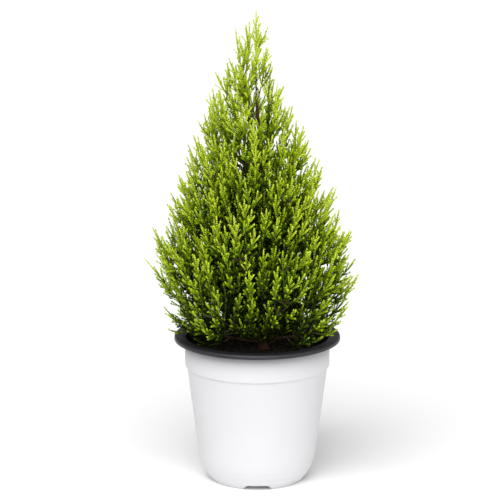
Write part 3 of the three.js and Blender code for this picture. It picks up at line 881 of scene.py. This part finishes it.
# %% Shoots
MOST_SHOOTS = 11
SHOOT_SPACING = 5
SHOOT_STEP = 2  # buds from one shoot to the next
SHOOT_ANGLE = 0.85
SHOOT_SPREAD = 0.25
SHOOT_RISE = 0.8
SHOOT_FALL = 0.6
SHORTEST_SHOOT = 16
SHOOT_TRIES = (1, 0.8, 0.6)
SHOOT_CLEAR = 0.35  # first part of a shoot that may crowd its stem
SHOOT_ROOM = 4
SHOOT_TIP_RADIUS = 0.8


def shoot_from(stem, ring, side, longest, twigs, own):
    """The shoot that one bud grows, as long as there is room for, or None."""
    root, along, out = stem.bud((ring + 0.5) / stem.rings, side)
    first = along * math.cos(SHOOT_ANGLE) + out * math.sin(SHOOT_ANGLE)
    last = unit(along + out * SHOOT_SPREAD + UP * SHOOT_RISE)
    for part in SHOOT_TRIES:
        bend = root + first * longest * part / 2
        whole = bent(root, bend, bend + last * longest * part / 2)
        places = whole.samples(SHOOT_CLEAR)
        if any(least_distance(twig.points, places).min() < SHOOT_ROOM for twig in twigs):
            continue
        if fits(places, own):
            return Twig(whole.stretch(0, STEM_SHARE), whole, SHOOT_RADIUS, SHOOT_TIP_RADIUS, SHOOT_RINGS)
    return None


# %% Growing the masses
def grow_mass(own):
    """The stem and the shoots of one mass of foliage."""
    plume = plumes[own]
    begin = 0 if plume.bare == 0 else plume.bare + GAP / plume.line.length
    line = plume.line.stretch(begin, STEM_SHARE)
    whole = plume.line.stretch(begin, 1)
    stem = Twig(line, whole, wood_radius(plume, begin), STEM_TIP_RADIUS, STEM_RINGS)
    twigs = [stem]
    for j in range(min(MOST_SHOOTS, round(line.length / SHOOT_SPACING))):
        ring, side = divmod(SHOOT_STEP * j + (TWIG_SIDES if plume.forked else 0), TWIG_SIDES)
        longest = max(SHORTEST_SHOOT, line.length * (1 - SHOOT_FALL * (ring + 0.5) / STEM_RINGS))
        shoot = shoot_from(stem, ring, side, longest, twigs, own)
        if shoot:
            twigs.append(shoot)
    return twigs


twigs = [twig for own in range(len(plumes)) for twig in grow_mass(own)]
print(f"growth: {len(plumes)} stems and {len(twigs) - len(plumes)} shoots")

# %% [markdown]
# ## Feathers
#
# Here the same rule goes on. Stems and shoots bud all the way round, and a bud grows a finer shoot. It leaves
# at an angle and bends with the crown: upwards in the middle, and outwards near the outline. Dressed with its
# fingers it looks like a slim feather, and those upright feathers are what the eye sees of this plant. First
# comes where growth turns, and how far out it may go.

# %% Where growth turns and ends
LOW_LEAN, HIGH_LEAN = 0.6, 0.32
SKIRT_LEAN = 1.1
SKIRT_HEIGHT = 48
SPIRE_FROM = 190
FINE_SHIFT = 7  # the feathers' outline leans a little less than the solids'


def skirt(height):
    """1 at the foot of the crown, where growth hangs out over the pot, and 0 above."""
    return max(0, 1 - height / SKIRT_HEIGHT)


def spire(height):
    """0 in the crown, and up to 1 at its top, where single shoots stand free."""
    return max(0, height - SPIRE_FROM) / (CROWN_TOP - SPIRE_FROM)


def growth_way(place):
    """The way that young growth turns: up in the middle of the crown, and outwards near its outline."""
    out = (place - crown_centre(place[2])) / max(SPIRE_ROOM, crown_radius(place[2]))
    lean = mix(LOW_LEAN, HIGH_LEAN, place[2] / CROWN_TOP) + SKIRT_LEAN * skirt(place[2])
    return unit(np.array([lean * out[0], lean * out[1], 1.0]))


def outline_share(places):
    """How far out places lie: 0 on the crown's axis and 1 on its outline."""
    heights = places[:, 2]
    above = np.clip((heights - CROWN_WIDEST) / (CROWN_TOP - CROWN_WIDEST), 0, 1)
    below = np.clip((CROWN_WIDEST - heights) / CROWN_WIDEST, 0, None)
    radii = CROWN_RADIUS * (1 - above**CROWN_TAPER) - (CROWN_RADIUS - CROWN_FOOT_RADIUS) * below**2
    axis = -FINE_SHIFT * np.sin(np.pi * np.clip(heights / CROWN_TOP, 0, 1) ** 2)
    return np.hypot(places[:, 0] - axis, places[:, 1]) / np.maximum(radii, SPIRE_ROOM)


# %% [markdown]
# Feathers must not grow through each other. To measure each one against all the others would be slow, so a
# map of the crown in cells of one millimetre keeps what is taken, and a new feather only looks up its own
# cells.

# %% A map of the room that is taken
MAP_LOW = np.array([-110, -110, -10])
MAP_CELLS = np.array([220, 220, 300])
room_map = np.zeros(MAP_CELLS, bool)


def cells_of(places):
    """The map's cells in which places lie."""
    return np.clip(np.floor(places - MAP_LOW).astype(int), 0, MAP_CELLS - 1)


def take_room(places, room):
    """Marks the cells within some room of places."""
    span = np.arange(-math.ceil(room), math.ceil(room) + 1)
    ball = np.stack(np.meshgrid(span, span, span, indexing="ij"), axis=-1).reshape(-1, 3)
    ball = ball[(ball**2).sum(1) <= room**2]
    marked = np.clip(cells_of(places)[:, None, :] + ball[None], 0, MAP_CELLS - 1)
    room_map[tuple(np.moveaxis(marked, -1, 0))] = True


def is_taken(places):
    return room_map[tuple(cells_of(places).T)]


# %% [markdown]
# A feather grows until it meets the outline, the pot or the room of another one. Each has its own reach, and
# a few go further than the rest, so that the outline is ragged as on the real plant. One that would stay too
# short is left out.

# %% One feather
SPRAY_ANGLE = 0.95
FEATHER_LENGTH = 80
SHORTEST_FEATHER = 16.5  # more than FREE_LENGTH and one sample, so that a blocked feather is left out
FREE_LENGTH = 12.0  # first part, which may crowd its neighbours
FEATHER_BEND = 0.12
FEATHER_BARE = 0.12
LEAST_REACH, MOST_REACH = 0.78, 1.0
SPIKE_SHARE = 0.8
SPIKE_REACH = 0.6
SPIRE_REACH = 0.3
SKIRT_REACH = 0.3


class Feather:
    """One of the finest shoots: its line, where its fingers begin, a key for its chances, and light painted
    into its tone.
    """

    def __init__(self, line, first, key, lighter=0.0):
        self.line, self.first, self.key, self.lighter = line, first, key, lighter


def feather_from(root, along, out, key):
    """The feather that one bud grows, as far as there is room for it, or None."""
    first = along * math.cos(SPRAY_ANGLE) + out * math.sin(SPRAY_ANGLE)
    bend = root + first * FEATHER_BEND * FEATHER_LENGTH
    line = bent(root, bend, bend + growth_way(bend) * (1 - FEATHER_BEND) * FEATHER_LENGTH)
    places = line.samples()
    reach = mix(LEAST_REACH, MOST_REACH, draw(key, 3, 0))
    reach += SPIKE_REACH * max(0, draw(key, 3, 1) - SPIKE_SHARE)
    reach += SPIRE_REACH * spire(bend[2]) + SKIRT_REACH * skirt(bend[2]) * (draw(key, 3, 2) > SPIKE_SHARE)
    blocked = outline_share(places) > reach
    blocked |= (places[:, 2] > CROWN_TOP - FREE_LENGTH) | ~clear_of_pot(places)
    blocked |= is_taken(places) & (np.linspace(0, line.length, len(places)) > FREE_LENGTH)
    share = (np.argmax(blocked) if blocked.any() else SAMPLES) / SAMPLES
    if share * line.length <= SHORTEST_FEATHER:
        return None
    return Feather(line.stretch(0, share), FEATHER_BARE, key)


# %% Feathers from the buds of many lines
FEATHER_ROOM = 6.0
FEATHER_FIRST, FEATHER_LAST = 0.1, 0.9
BUD_SPACING = 2.0
KEY_STEP = 100
DEPTH_SPREAD = 0.4
ROOM_FROM = 0.25  # share of a feather where its own room begins


def buds_of(line, key):
    """Places on a line where finer growth can begin, with the way along it, the way out of it, and a key."""
    normals, binormals = line.frames()
    for i in range(int(line.length / BUD_SPACING)):
        share = mix(FEATHER_FIRST, FEATHER_LAST, (i + 0.5) * BUD_SPACING / line.length)
        step = int(share * (len(Line.SHARES) - 1))
        angle = 2 * math.pi * draw(key, 6, 0) + GOLDEN_ANGLE * i
        yield line.at(share), line.along(share), around(normals, binormals, step, angle), key + i + 1


def grow_feathers(lines, key):
    """Feathers from the buds of some lines, the ones deep in the crown first."""
    buds = [bud for i, line in enumerate(lines) for bud in buds_of(line, key + KEY_STEP * i)]
    depths = outline_share(np.array([bud[0] for bud in buds]))
    depths += [DEPTH_SPREAD * draw(bud[3], 4, 0) for bud in buds]
    grown = []
    for index in np.argsort(depths):
        feather = feather_from(*buds[index])
        if feather:
            grown.append(feather)
            take_room(feather.line.samples(ROOM_FROM)[::2], FEATHER_ROOM)
    return grown


# %% [markdown]
# The stems and shoots of the solids are the first feathers, and a ring of short basal shoots leans out over
# the soil, as it does on the real plant. All of these bud, and so do the foot of the trunk and the bare
# boughs. What they grow buds again, for a few generations, until the crown is full.

# %% The first feathers
STEM_BARE, SHOOT_BARE = 0.25, 0.15
SPIRE_HEIGHT = 225
LEAST_KEPT = 0.5
BASAL_COUNT = 18
BASAL_LENGTH = 46
BASAL_LOW, BASAL_HIGH = 2, 14
BASAL_RISE = 0.45
# Painted light in the tone of the basal shoots, which stand low in front where the light reaches in.
BASAL_LIGHT = 0.45


def twig_feather(index, twig):
    """A stem or a shoot as a feather, cut where it would leave the outline below the spire."""
    beyond = outline_share(twig.whole.samples()) > MOST_REACH
    cut = beyond.any() and twig.whole.at(1.0)[2] < SPIRE_HEIGHT
    end = (np.argmax(beyond) if cut else SAMPLES) / SAMPLES
    first = STEM_BARE if twig.rings == STEM_RINGS else SHOOT_BARE
    return Feather(twig.whole.stretch(0, max(end, LEAST_KEPT)), first, KEY_STEP * index)


def basal_feather(index, key):
    """A shoot from the foot of the trunk, with painted light in its tone."""
    out = np.array([math.cos(GOLDEN_ANGLE * index), math.sin(GOLDEN_ANGLE * index), 0])
    root = trunk_centre(mix(BASAL_LOW, BASAL_HIGH, index / BASAL_COUNT))
    bend = root + unit(out + BASAL_RISE * UP) * BASAL_LENGTH / 2
    line = bent(root, bend, bend + unit(BASAL_RISE * out + UP) * BASAL_LENGTH / 2)
    return Feather(line, SHOOT_BARE, key, BASAL_LIGHT)


feathers = [twig_feather(index, twig) for index, twig in enumerate(twigs)]
for feather in feathers:
    take_room(feather.line.samples(feather.first), FEATHER_ROOM)
for radius in np.unique(np.ceil(wood_radii)):
    take_room(wood_points[np.ceil(wood_radii) == radius], radius + LEAF_ROOM)
for index in range(BASAL_COUNT):
    feathers.append(basal_feather(index, KEY_STEP * len(feathers)))
print(f"growth: {len(feathers)} first feathers, {room_map.sum() / 1000:.0f} ml of the crown taken")

# %% Generations of feathers
GENERATIONS = 4
TRUNK_BUDS = 0.3

sources = [feather.line for feather in feathers] + [trunk_line.stretch(0, TRUNK_BUDS)]
sources += [plume.line.stretch(0, plume.bare) for plume in plumes if plume.bare]
for generation in range(GENERATIONS):
    younger = grow_feathers(sources, KEY_STEP * len(feathers))
    sources = [feather.line for feather in younger]
    feathers.extend(younger)
    print(f"growth: {len(younger)} feathers of generation {generation + 1}")
print(f"growth: {len(feathers)} feathers, {sum(f.line.length for f in feathers) / 1000:.1f} m in all")

# %% [markdown]
# ## Fingers
#
# Close to, a feather is a slim twig with short ones standing off it in turn, clothed in scale leaves down to
# their roots. Those finest twigs are the fingers that give this plant its texture. They are longest low on
# the feather, and each bends towards the light. The feather's own twig is dressed as two more fingers.

# %% Sizes and directions of fingers
FINGER_STEP, SPIRE_STEP = 2.2, 2.3
FINGER_LENGTH, SPIRE_FINGER = 8.5, 5.8
SPIKE_LENGTH = 9  # bare of fingers at the tip
LEAST_DRESSED = 0.5
FULL_RADIUS = 45  # crown radius from which fingers are full size
FINGER_TIP = 3.5
FINGER_GAIN = 0.17
FINGER_ANGLE = 0.5
FINGER_RISE = 0.15
FINGER_POINTS = 5
SIZE_SPREAD = 0.3
SIDE_FINGER_FROM = 7.5
SIDE_FINGER_SIZE = 0.4
SIDE_FINGER_PLACE = 0.45


def rising(root, heading, length):
    """Points of a short twig that bends towards the way of growth."""
    shares = np.linspace(0, 1, FINGER_POINTS)[:, None]
    return root + length * (heading * shares + growth_way(root) * FINGER_RISE * shares**2)


def off(along, out):
    """The direction of a finger that stands off its twig."""
    return along * math.cos(FINGER_ANGLE) + out * math.sin(FINGER_ANGLE)


# %% Fingers in turn up a feather
def fingers_of(feather):
    """The fingers of one feather, each as points and how far up the feather it stands."""
    line = feather.line
    normals, binormals = line.frames()
    full = min(1, crown_radius(line.at(1.0)[2]) / FULL_RADIUS)
    last = max(LEAST_DRESSED, 1 - SPIKE_LENGTH / line.length)
    count = max(1, int(line.length * (last - feather.first) / mix(SPIRE_STEP, FINGER_STEP, full)))
    longest = mix(SPIRE_FINGER, FINGER_LENGTH, full)
    phase = 2 * math.pi * draw(feather.key, 8, 0)
    for i in range(count):
        share = mix(feather.first, last, (i + 0.5) / count)
        step = int(share * (len(Line.SHARES) - 1))
        angle = phase + GOLDEN_ANGLE * i
        size = min(longest, FINGER_TIP + FINGER_GAIN * (1 - share) * line.length)
        size *= 1 + SIZE_SPREAD * (2 * draw(feather.key, i, 1) - 1)
        heading = off(line.along(share), around(normals, binormals, step, angle))
        points = rising(line.at(share), heading, size)
        yield points, share
        if size >= SIDE_FINGER_FROM:
            finger = Line(points)
            aside = around(normals, binormals, step, angle + math.pi * draw(feather.key, i, 2))
            way = unit(off(finger.along(SIDE_FINGER_PLACE), aside))
            yield rising(finger.at(SIDE_FINGER_PLACE), way, size * SIDE_FINGER_SIZE), share


# %% All fingers
FINEST_REACH = 1.08
FEATHER_MIDDLE = 0.6  # where the first half of a feather's own twig ends


class Finger:
    """A finest twig: its points, its feather, and how far up the feather it stands."""

    def __init__(self, points, feather, share):
        self.points, self.feather, self.share = points, feather, share


def finest_reach(place):
    return FINEST_REACH + 2 * SPIRE_REACH * spire(place[2]) + SKIRT_REACH * skirt(place[2])


fingers = []
for feather in feathers:
    for low, high in ((feather.first, FEATHER_MIDDLE), (FEATHER_MIDDLE, 1)):
        fingers.append(Finger(feather.line.at(np.linspace(low, high, FINGER_POINTS)), feather, high))
    for points, share in fingers_of(feather):
        if clear_of_pot(points).all() and outline_share(points[-1:])[0] < finest_reach(points[-1]):
            fingers.append(Finger(points, feather, share))
total = sum(np.linalg.norm(finger.points[-1] - finger.points[0]) for finger in fingers)
print(f"growth: {len(fingers)} fingers, {total / 1000:.1f} m in all")

# %% [markdown]
# ## Tones
#
# Young growth is yellow-green and older growth a darker green, but most of the spread of tones is painted
# light and shade: what is lower or deeper in the crown gets a painted shade, and what stands far out and high
# a painted highlight. Each finger is dealt plain colours by how far out and how high its tip stands, with a
# little chance for its feather: its root is a shade darker, partly painted shade, and its tip brighter,
# partly a painted highlight. Plain colours stay with their leaves wherever the part goes.

# %% The tones and the painted light that picks them
# Plain leaf colours. Tip and lime are partly the golden colour of young growth and partly painted highlight;
# deep and shade are painted shade for the inside and the foot of the crown.
TONES = {
    "tip": (0.64, 0.76, 0.06),
    "lime": (0.51, 0.655, 0.026),
    "leaf": (0.32, 0.465, 0.01),
    "deep": (0.095, 0.165, 0.003),
    "shade": (0.018, 0.033, 0.002),
}
TONE_STEPS = (0.86, 0.68, 0.48, 0.28)  # the least light for each tone but the last
# Painted light: the weights by which being far out and high in the crown brighten a finger's tone.
OUT_WEIGHT = 0.6
OUT_POWER = 3.4
HIGH_WEIGHT = 0.7
HIGH_GAIN = 1.3  # full light is reached some way below the top
CHANCE_WEIGHT = 0.25
CHANCE_MIDDLE = 0.4
# Painted shade at the root of each feather, on top of the darker green of its older growth.
FOOT_DARKER = 0.3


def painted_light_at(finger):
    """How much painted light a finger's tone takes, about 0 to 1: more far out and high, less deep and low.
    """
    tip = finger.points[-1]
    height = tip[2] / CROWN_TOP
    out = min(1, max(outline_share(tip[None])[0], height**2))
    light = OUT_WEIGHT * out**OUT_POWER + HIGH_WEIGHT * min(1, height * HIGH_GAIN)
    light += CHANCE_WEIGHT * (draw(finger.feather.key, 11, 0) - CHANCE_MIDDLE)
    return light + finger.feather.lighter - FOOT_DARKER * (1 - finger.share) ** 2


def tone_of(light):
    for name, step in zip(TONES, TONE_STEPS):
        if light > step:
            return name
    return "shade"


# %% Dealing out the tones
LEAF_SPACING = 0.85
LEAF_TIP_SIZE = 0.6
PART_POINTS = 3
# Each finger's root takes a painted shade and its tip a painted highlight, besides the real darker old and
# golden young growth.
FINGER_PARTS = ((0, 0.4, -0.15), (0.4, 0.8, 0), (0.8, 1, 0.08))  # from, to, lighter by

dealt = {name: [] for name in TONES}
for finger in fingers:
    light = painted_light_at(finger)
    whole = Line(finger.points)
    for low, high, lighter in FINGER_PARTS:
        begin = low + (LEAF_SPACING / whole.length if low else 0)
        sizes = np.linspace(1, LEAF_TIP_SIZE if high == 1 else 1, PART_POINTS)
        if begin < high:
            part = whole.at(np.linspace(begin, high, PART_POINTS))
            dealt[tone_of(light + lighter)].append((part, sizes))
print("tones:", {name: len(group) for name, group in dealt.items()})

# %% [markdown]
# ## Leaves
#
# The leaves are scales about two millimetres long, in pairs, each pair turned a quarter against the one
# below. That is a job for a node tree: walk along each finger in even steps, set a pair of pointed scales
# at each step, turn it by a quarter and a little chance, and shrink it towards the tip. A scale is a pointed
# kite of two faces, folded along its keel.

# %% A pair of scales
LEAF_LENGTH = 2.1
LEAF_WIDTH = 1.2
LEAF_SPREAD = 1.0
LEAF_FOLD = 0.3
LEAF_WIDEST = 0.45  # share of the length


def leaf_pair():
    """Two opposite scales."""
    places, faces = [], []
    half, wide = LEAF_WIDTH / 2, LEAF_WIDEST * LEAF_LENGTH
    for side in (-1, 1):
        start = len(places)
        places += [(0, 0, 0), (half, side * LEAF_FOLD, wide), (0, side * LEAF_SPREAD, LEAF_LENGTH)]
        places += [(-half, side * LEAF_FOLD, wide)]
        for near, far in ((start + 1, start + 2), (start + 2, start + 3)):
            faces.append((start, near, far) if side < 0 else (start, far, near))
    return new_piece("leaf pair", places, faces, None, smooth=False)


# %% A node tree that clothes fingers
def even_steps(tree, curve, spacing):
    """A curve with its points at even steps."""
    steps = put(tree, "GeometryNodeResampleCurve", {"Curve": curve, "Length": spacing}, mode="LENGTH")
    return steps.outputs["Curve"]


def leaf_tree():
    kinds = {"Leaf_pair": "Object", "Spacing": "Float", "Wander": "Float", "Seed": "Int"}
    tree, given = new_tree("scale leaves", **kinds, Material="Material")
    pair = put(tree, "GeometryNodeObjectInfo", {"Object": given["Leaf pair"]})
    ahead = put(tree, "GeometryNodeInputTangent").outputs[0]
    aligned = put(tree, "FunctionNodeAlignRotationToVector", {"Vector": ahead}, axis="Z").outputs[0]
    count = put(tree, "GeometryNodeInputIndex").outputs[0]
    quarters = {"Value": count, "Value_001": math.pi / 2}
    quarter = put(tree, "ShaderNodeMath", quarters, operation="MULTIPLY").outputs[0]
    wander = chance(tree, 0.0, given["Wander"], given["Seed"])
    angle = put(tree, "ShaderNodeMath", {"Value": quarter, "Value_001": wander}, operation="ADD").outputs[0]
    turn = put(tree, "FunctionNodeAxisAngleToRotation", {"Axis": (0, 0, 1), "Angle": angle}).outputs[0]
    turns = {"Rotation": aligned, "Rotate By": turn}
    turned = put(tree, "FunctionNodeRotateRotation", turns, rotation_space="LOCAL").outputs[0]
    leaves = put(
        tree,
        "GeometryNodeInstanceOnPoints",
        {
            "Points": even_steps(tree, given["Geometry"], given["Spacing"]),
            "Instance": pair.outputs["Geometry"],
            "Rotation": turned,
            "Scale": put(tree, "GeometryNodeInputRadius").outputs[0],
        },
    )
    close_tree(tree, leaves.outputs["Instances"], given["Material"])
    return tree


# %% Lines as curves
def as_curves(name, lines):
    """A curve object with one spline for each (points in millimetres above the soil, radii)."""
    data = bpy.data.curves.new(name, "CURVE")
    data.dimensions = "3D"
    for points, radii in lines:
        spline = data.splines.new("POLY")
        spline.points.add(len(points) - 1)
        places = np.column_stack([above_soil(points) * MM, np.ones(len(points))])
        spline.points.foreach_set("co", places.ravel())
        spline.points.foreach_set("radius", np.asarray(radii, float))
    return link(bpy.data.objects.new(name, data))


# %% Clothing the fingers
LEAF_WANDER = 0.6
LEAF_SHINE = {"Roughness": 0.5, "Specular_IOR_Level": 0.18}
TRIANGLES_PER_PAIR = 4
END_PAIRS = 2
MOST_TRIANGLES = 190000


def parcels(group):
    """The lines of one tone in parcels that stay under the limit of triangles."""
    parcel, triangles = [], 0
    for points, sizes in group:
        length = np.linalg.norm(np.diff(points, axis=0), axis=1).sum()
        cost = TRIANGLES_PER_PAIR * (length / LEAF_SPACING + END_PAIRS)
        if triangles + cost > MOST_TRIANGLES:
            yield parcel
            parcel, triangles = [], 0
        parcel.append((points, sizes))
        triangles += cost
    yield parcel


clothing = leaf_tree()
pair_shape = leaf_pair()
print("leaves:")
for name, group in dealt.items():
    finish = new_shader(f"{name} leaves", Base_Color=(*TONES[name], 1), **LEAF_SHINE)[0]
    for number, parcel in enumerate(parcels(group), start=1):
        leaves = run_tree(
            f"leaves_{name}_{number}",
            as_curves("fingers", parcel),
            clothing,
            Leaf_pair=pair_shape,
            Spacing=LEAF_SPACING * MM,
            Wander=LEAF_WANDER,
            Seed=number,
            Material=finish,
        )
        finish_piece(leaves, "foliage")
bpy.data.objects.remove(pair_shape)

# %% [markdown]
# ## Twigs under the leaves
#
# Between the leaves the wood shows: brown where a stem or a shoot is old, and dark green where it is young.
# It follows the same lines, so a second node tree walks along them and sets a ring of the right radius at
# each step. The old wood stands for all the masses of the solids, because it runs into every one of them.


# %% A node tree that thickens twigs
def twig_tree():
    tree, given = new_tree("twigs", Sides="Int", Step="Float", Material="Material")
    ring = put(tree, "GeometryNodeCurvePrimitiveCircle", {"Resolution": given["Sides"], "Radius": 1.0})
    wood = put(
        tree,
        "GeometryNodeCurveToMesh",
        {
            "Curve": even_steps(tree, given["Geometry"], given["Step"]),
            "Profile Curve": ring.outputs["Curve"],
            "Scale": put(tree, "GeometryNodeInputRadius").outputs[0],
            "Fill Caps": True,
        },
    )
    close_tree(tree, wood.outputs["Mesh"], given["Material"])
    return tree


# %% Old and young wood
STEM_OLD, SHOOT_OLD = 0.4, 0.12  # share of a stem or shoot that is brown
STEM_THICKNESS = 0.6  # the solids' twigs are thicker than real ones
CORE_RADIUS, CORE_TIP_RADIUS = 0.5, 0.3
WOOD_POINTS = 8
WOOD_END = 0.9
OLD_SIDES, OLD_STEP = 6, 4
YOUNG_SIDES, YOUNG_STEP = 3, 6
twig_brown = new_shader("old twig", Base_Color=(0.07, 0.035, 0.016, 1), Roughness=0.8)[0]
twig_green = new_shader("young twig", Base_Color=(0.06, 0.08, 0.01, 1), Roughness=0.7)[0]


def stretch_of(i, low, high):
    """A stretch of the wood of one stem or shoot, as points and radii."""
    shares = np.linspace(low, high, WOOD_POINTS)
    return feathers[i].line.at(shares), STEM_THICKNESS * twigs[i].radius(shares) * MM


def core_of(feather):
    """The wood inside one of the finer feathers, as points and radii."""
    radii = np.linspace(CORE_RADIUS, CORE_TIP_RADIUS, WOOD_POINTS) * MM
    return feather.line.at(np.linspace(0, WOOD_END, WOOD_POINTS)), radii


old_shares = [STEM_OLD if twig.rings == STEM_RINGS else SHOOT_OLD for twig in twigs]
old_wood = as_curves("old wood", [stretch_of(i, 0, share + OVERLAP) for i, share in enumerate(old_shares)])
young_lines = [stretch_of(i, share, WOOD_END) for i, share in enumerate(old_shares)]
young_wood = as_curves("young wood", young_lines + [core_of(feather) for feather in feathers[len(twigs) :]])
thicken = twig_tree()
print("twigs:")
old_sizes = {"Sides": OLD_SIDES, "Step": OLD_STEP * MM}
old_piece = run_tree("twigs_old", old_wood, thicken, **old_sizes, Material=twig_brown)
finish_piece(old_piece, "bark", *masses)
young_sizes = {"Sides": YOUNG_SIDES, "Step": YOUNG_STEP * MM}
young_piece = run_tree("twigs_young", young_wood, thicken, **young_sizes, Material=twig_green)
finish_piece(young_piece, "foliage")

# %% [markdown]
# ## Floor and light
#
# The plant stands on a plain pale floor that runs on past the edges of the picture. A broad soft light comes
# from high in front, a little to the left. Three weak ones fill in from low in front, from the right and from
# the left, so that the tips are bright, the inside of the crown falls away into shade, and the pot is even.

# %% The floor
FLOOR_SIZE = 8000
floor_finish = new_shader("pale floor", Base_Color=(0.95, 0.95, 0.95, 1), Roughness=0.9)[0]
half = FLOOR_SIZE / 2
floor_corners = [(-half, -half, 0), (half, -half, 0), (half, half, 0), (-half, half, 0)]
floor = new_piece("floor", floor_corners, [(0, 1, 2, 3)], floor_finish)
print(f"floor: {FLOOR_SIZE / 1000:.0f} m wide")


# %% Lights
def soft_sun(name, side, height, strength, softness):
    """A soft light from far away: degrees to the right of the front, and degrees above the floor."""
    data = bpy.data.lights.new(name, "SUN")
    data.energy = strength
    data.angle = math.radians(softness)
    lamp = link(bpy.data.objects.new(name, data))
    lamp.rotation_euler = (math.radians(90 - height), 0, math.radians(side))


ROOM_LIGHT = 0.3
soft_sun("key", side=-14, height=50, strength=2.8, softness=55)
soft_sun("front fill", side=12, height=8, strength=0.7, softness=50)
soft_sun("right fill", side=60, height=25, strength=0.6, softness=60)
soft_sun("left fill", side=-70, height=45, strength=0.35, softness=60)

world = bpy.data.worlds.new("studio")
bpy.context.scene.world = world
world.use_nodes = True
world.node_tree.nodes["Background"].inputs["Color"].default_value = (1, 1, 1, 1)
world.node_tree.nodes["Background"].inputs["Strength"].default_value = ROOM_LIGHT
bpy.context.scene.view_settings.view_transform = "Standard"
print("light: four soft lights and a pale room")
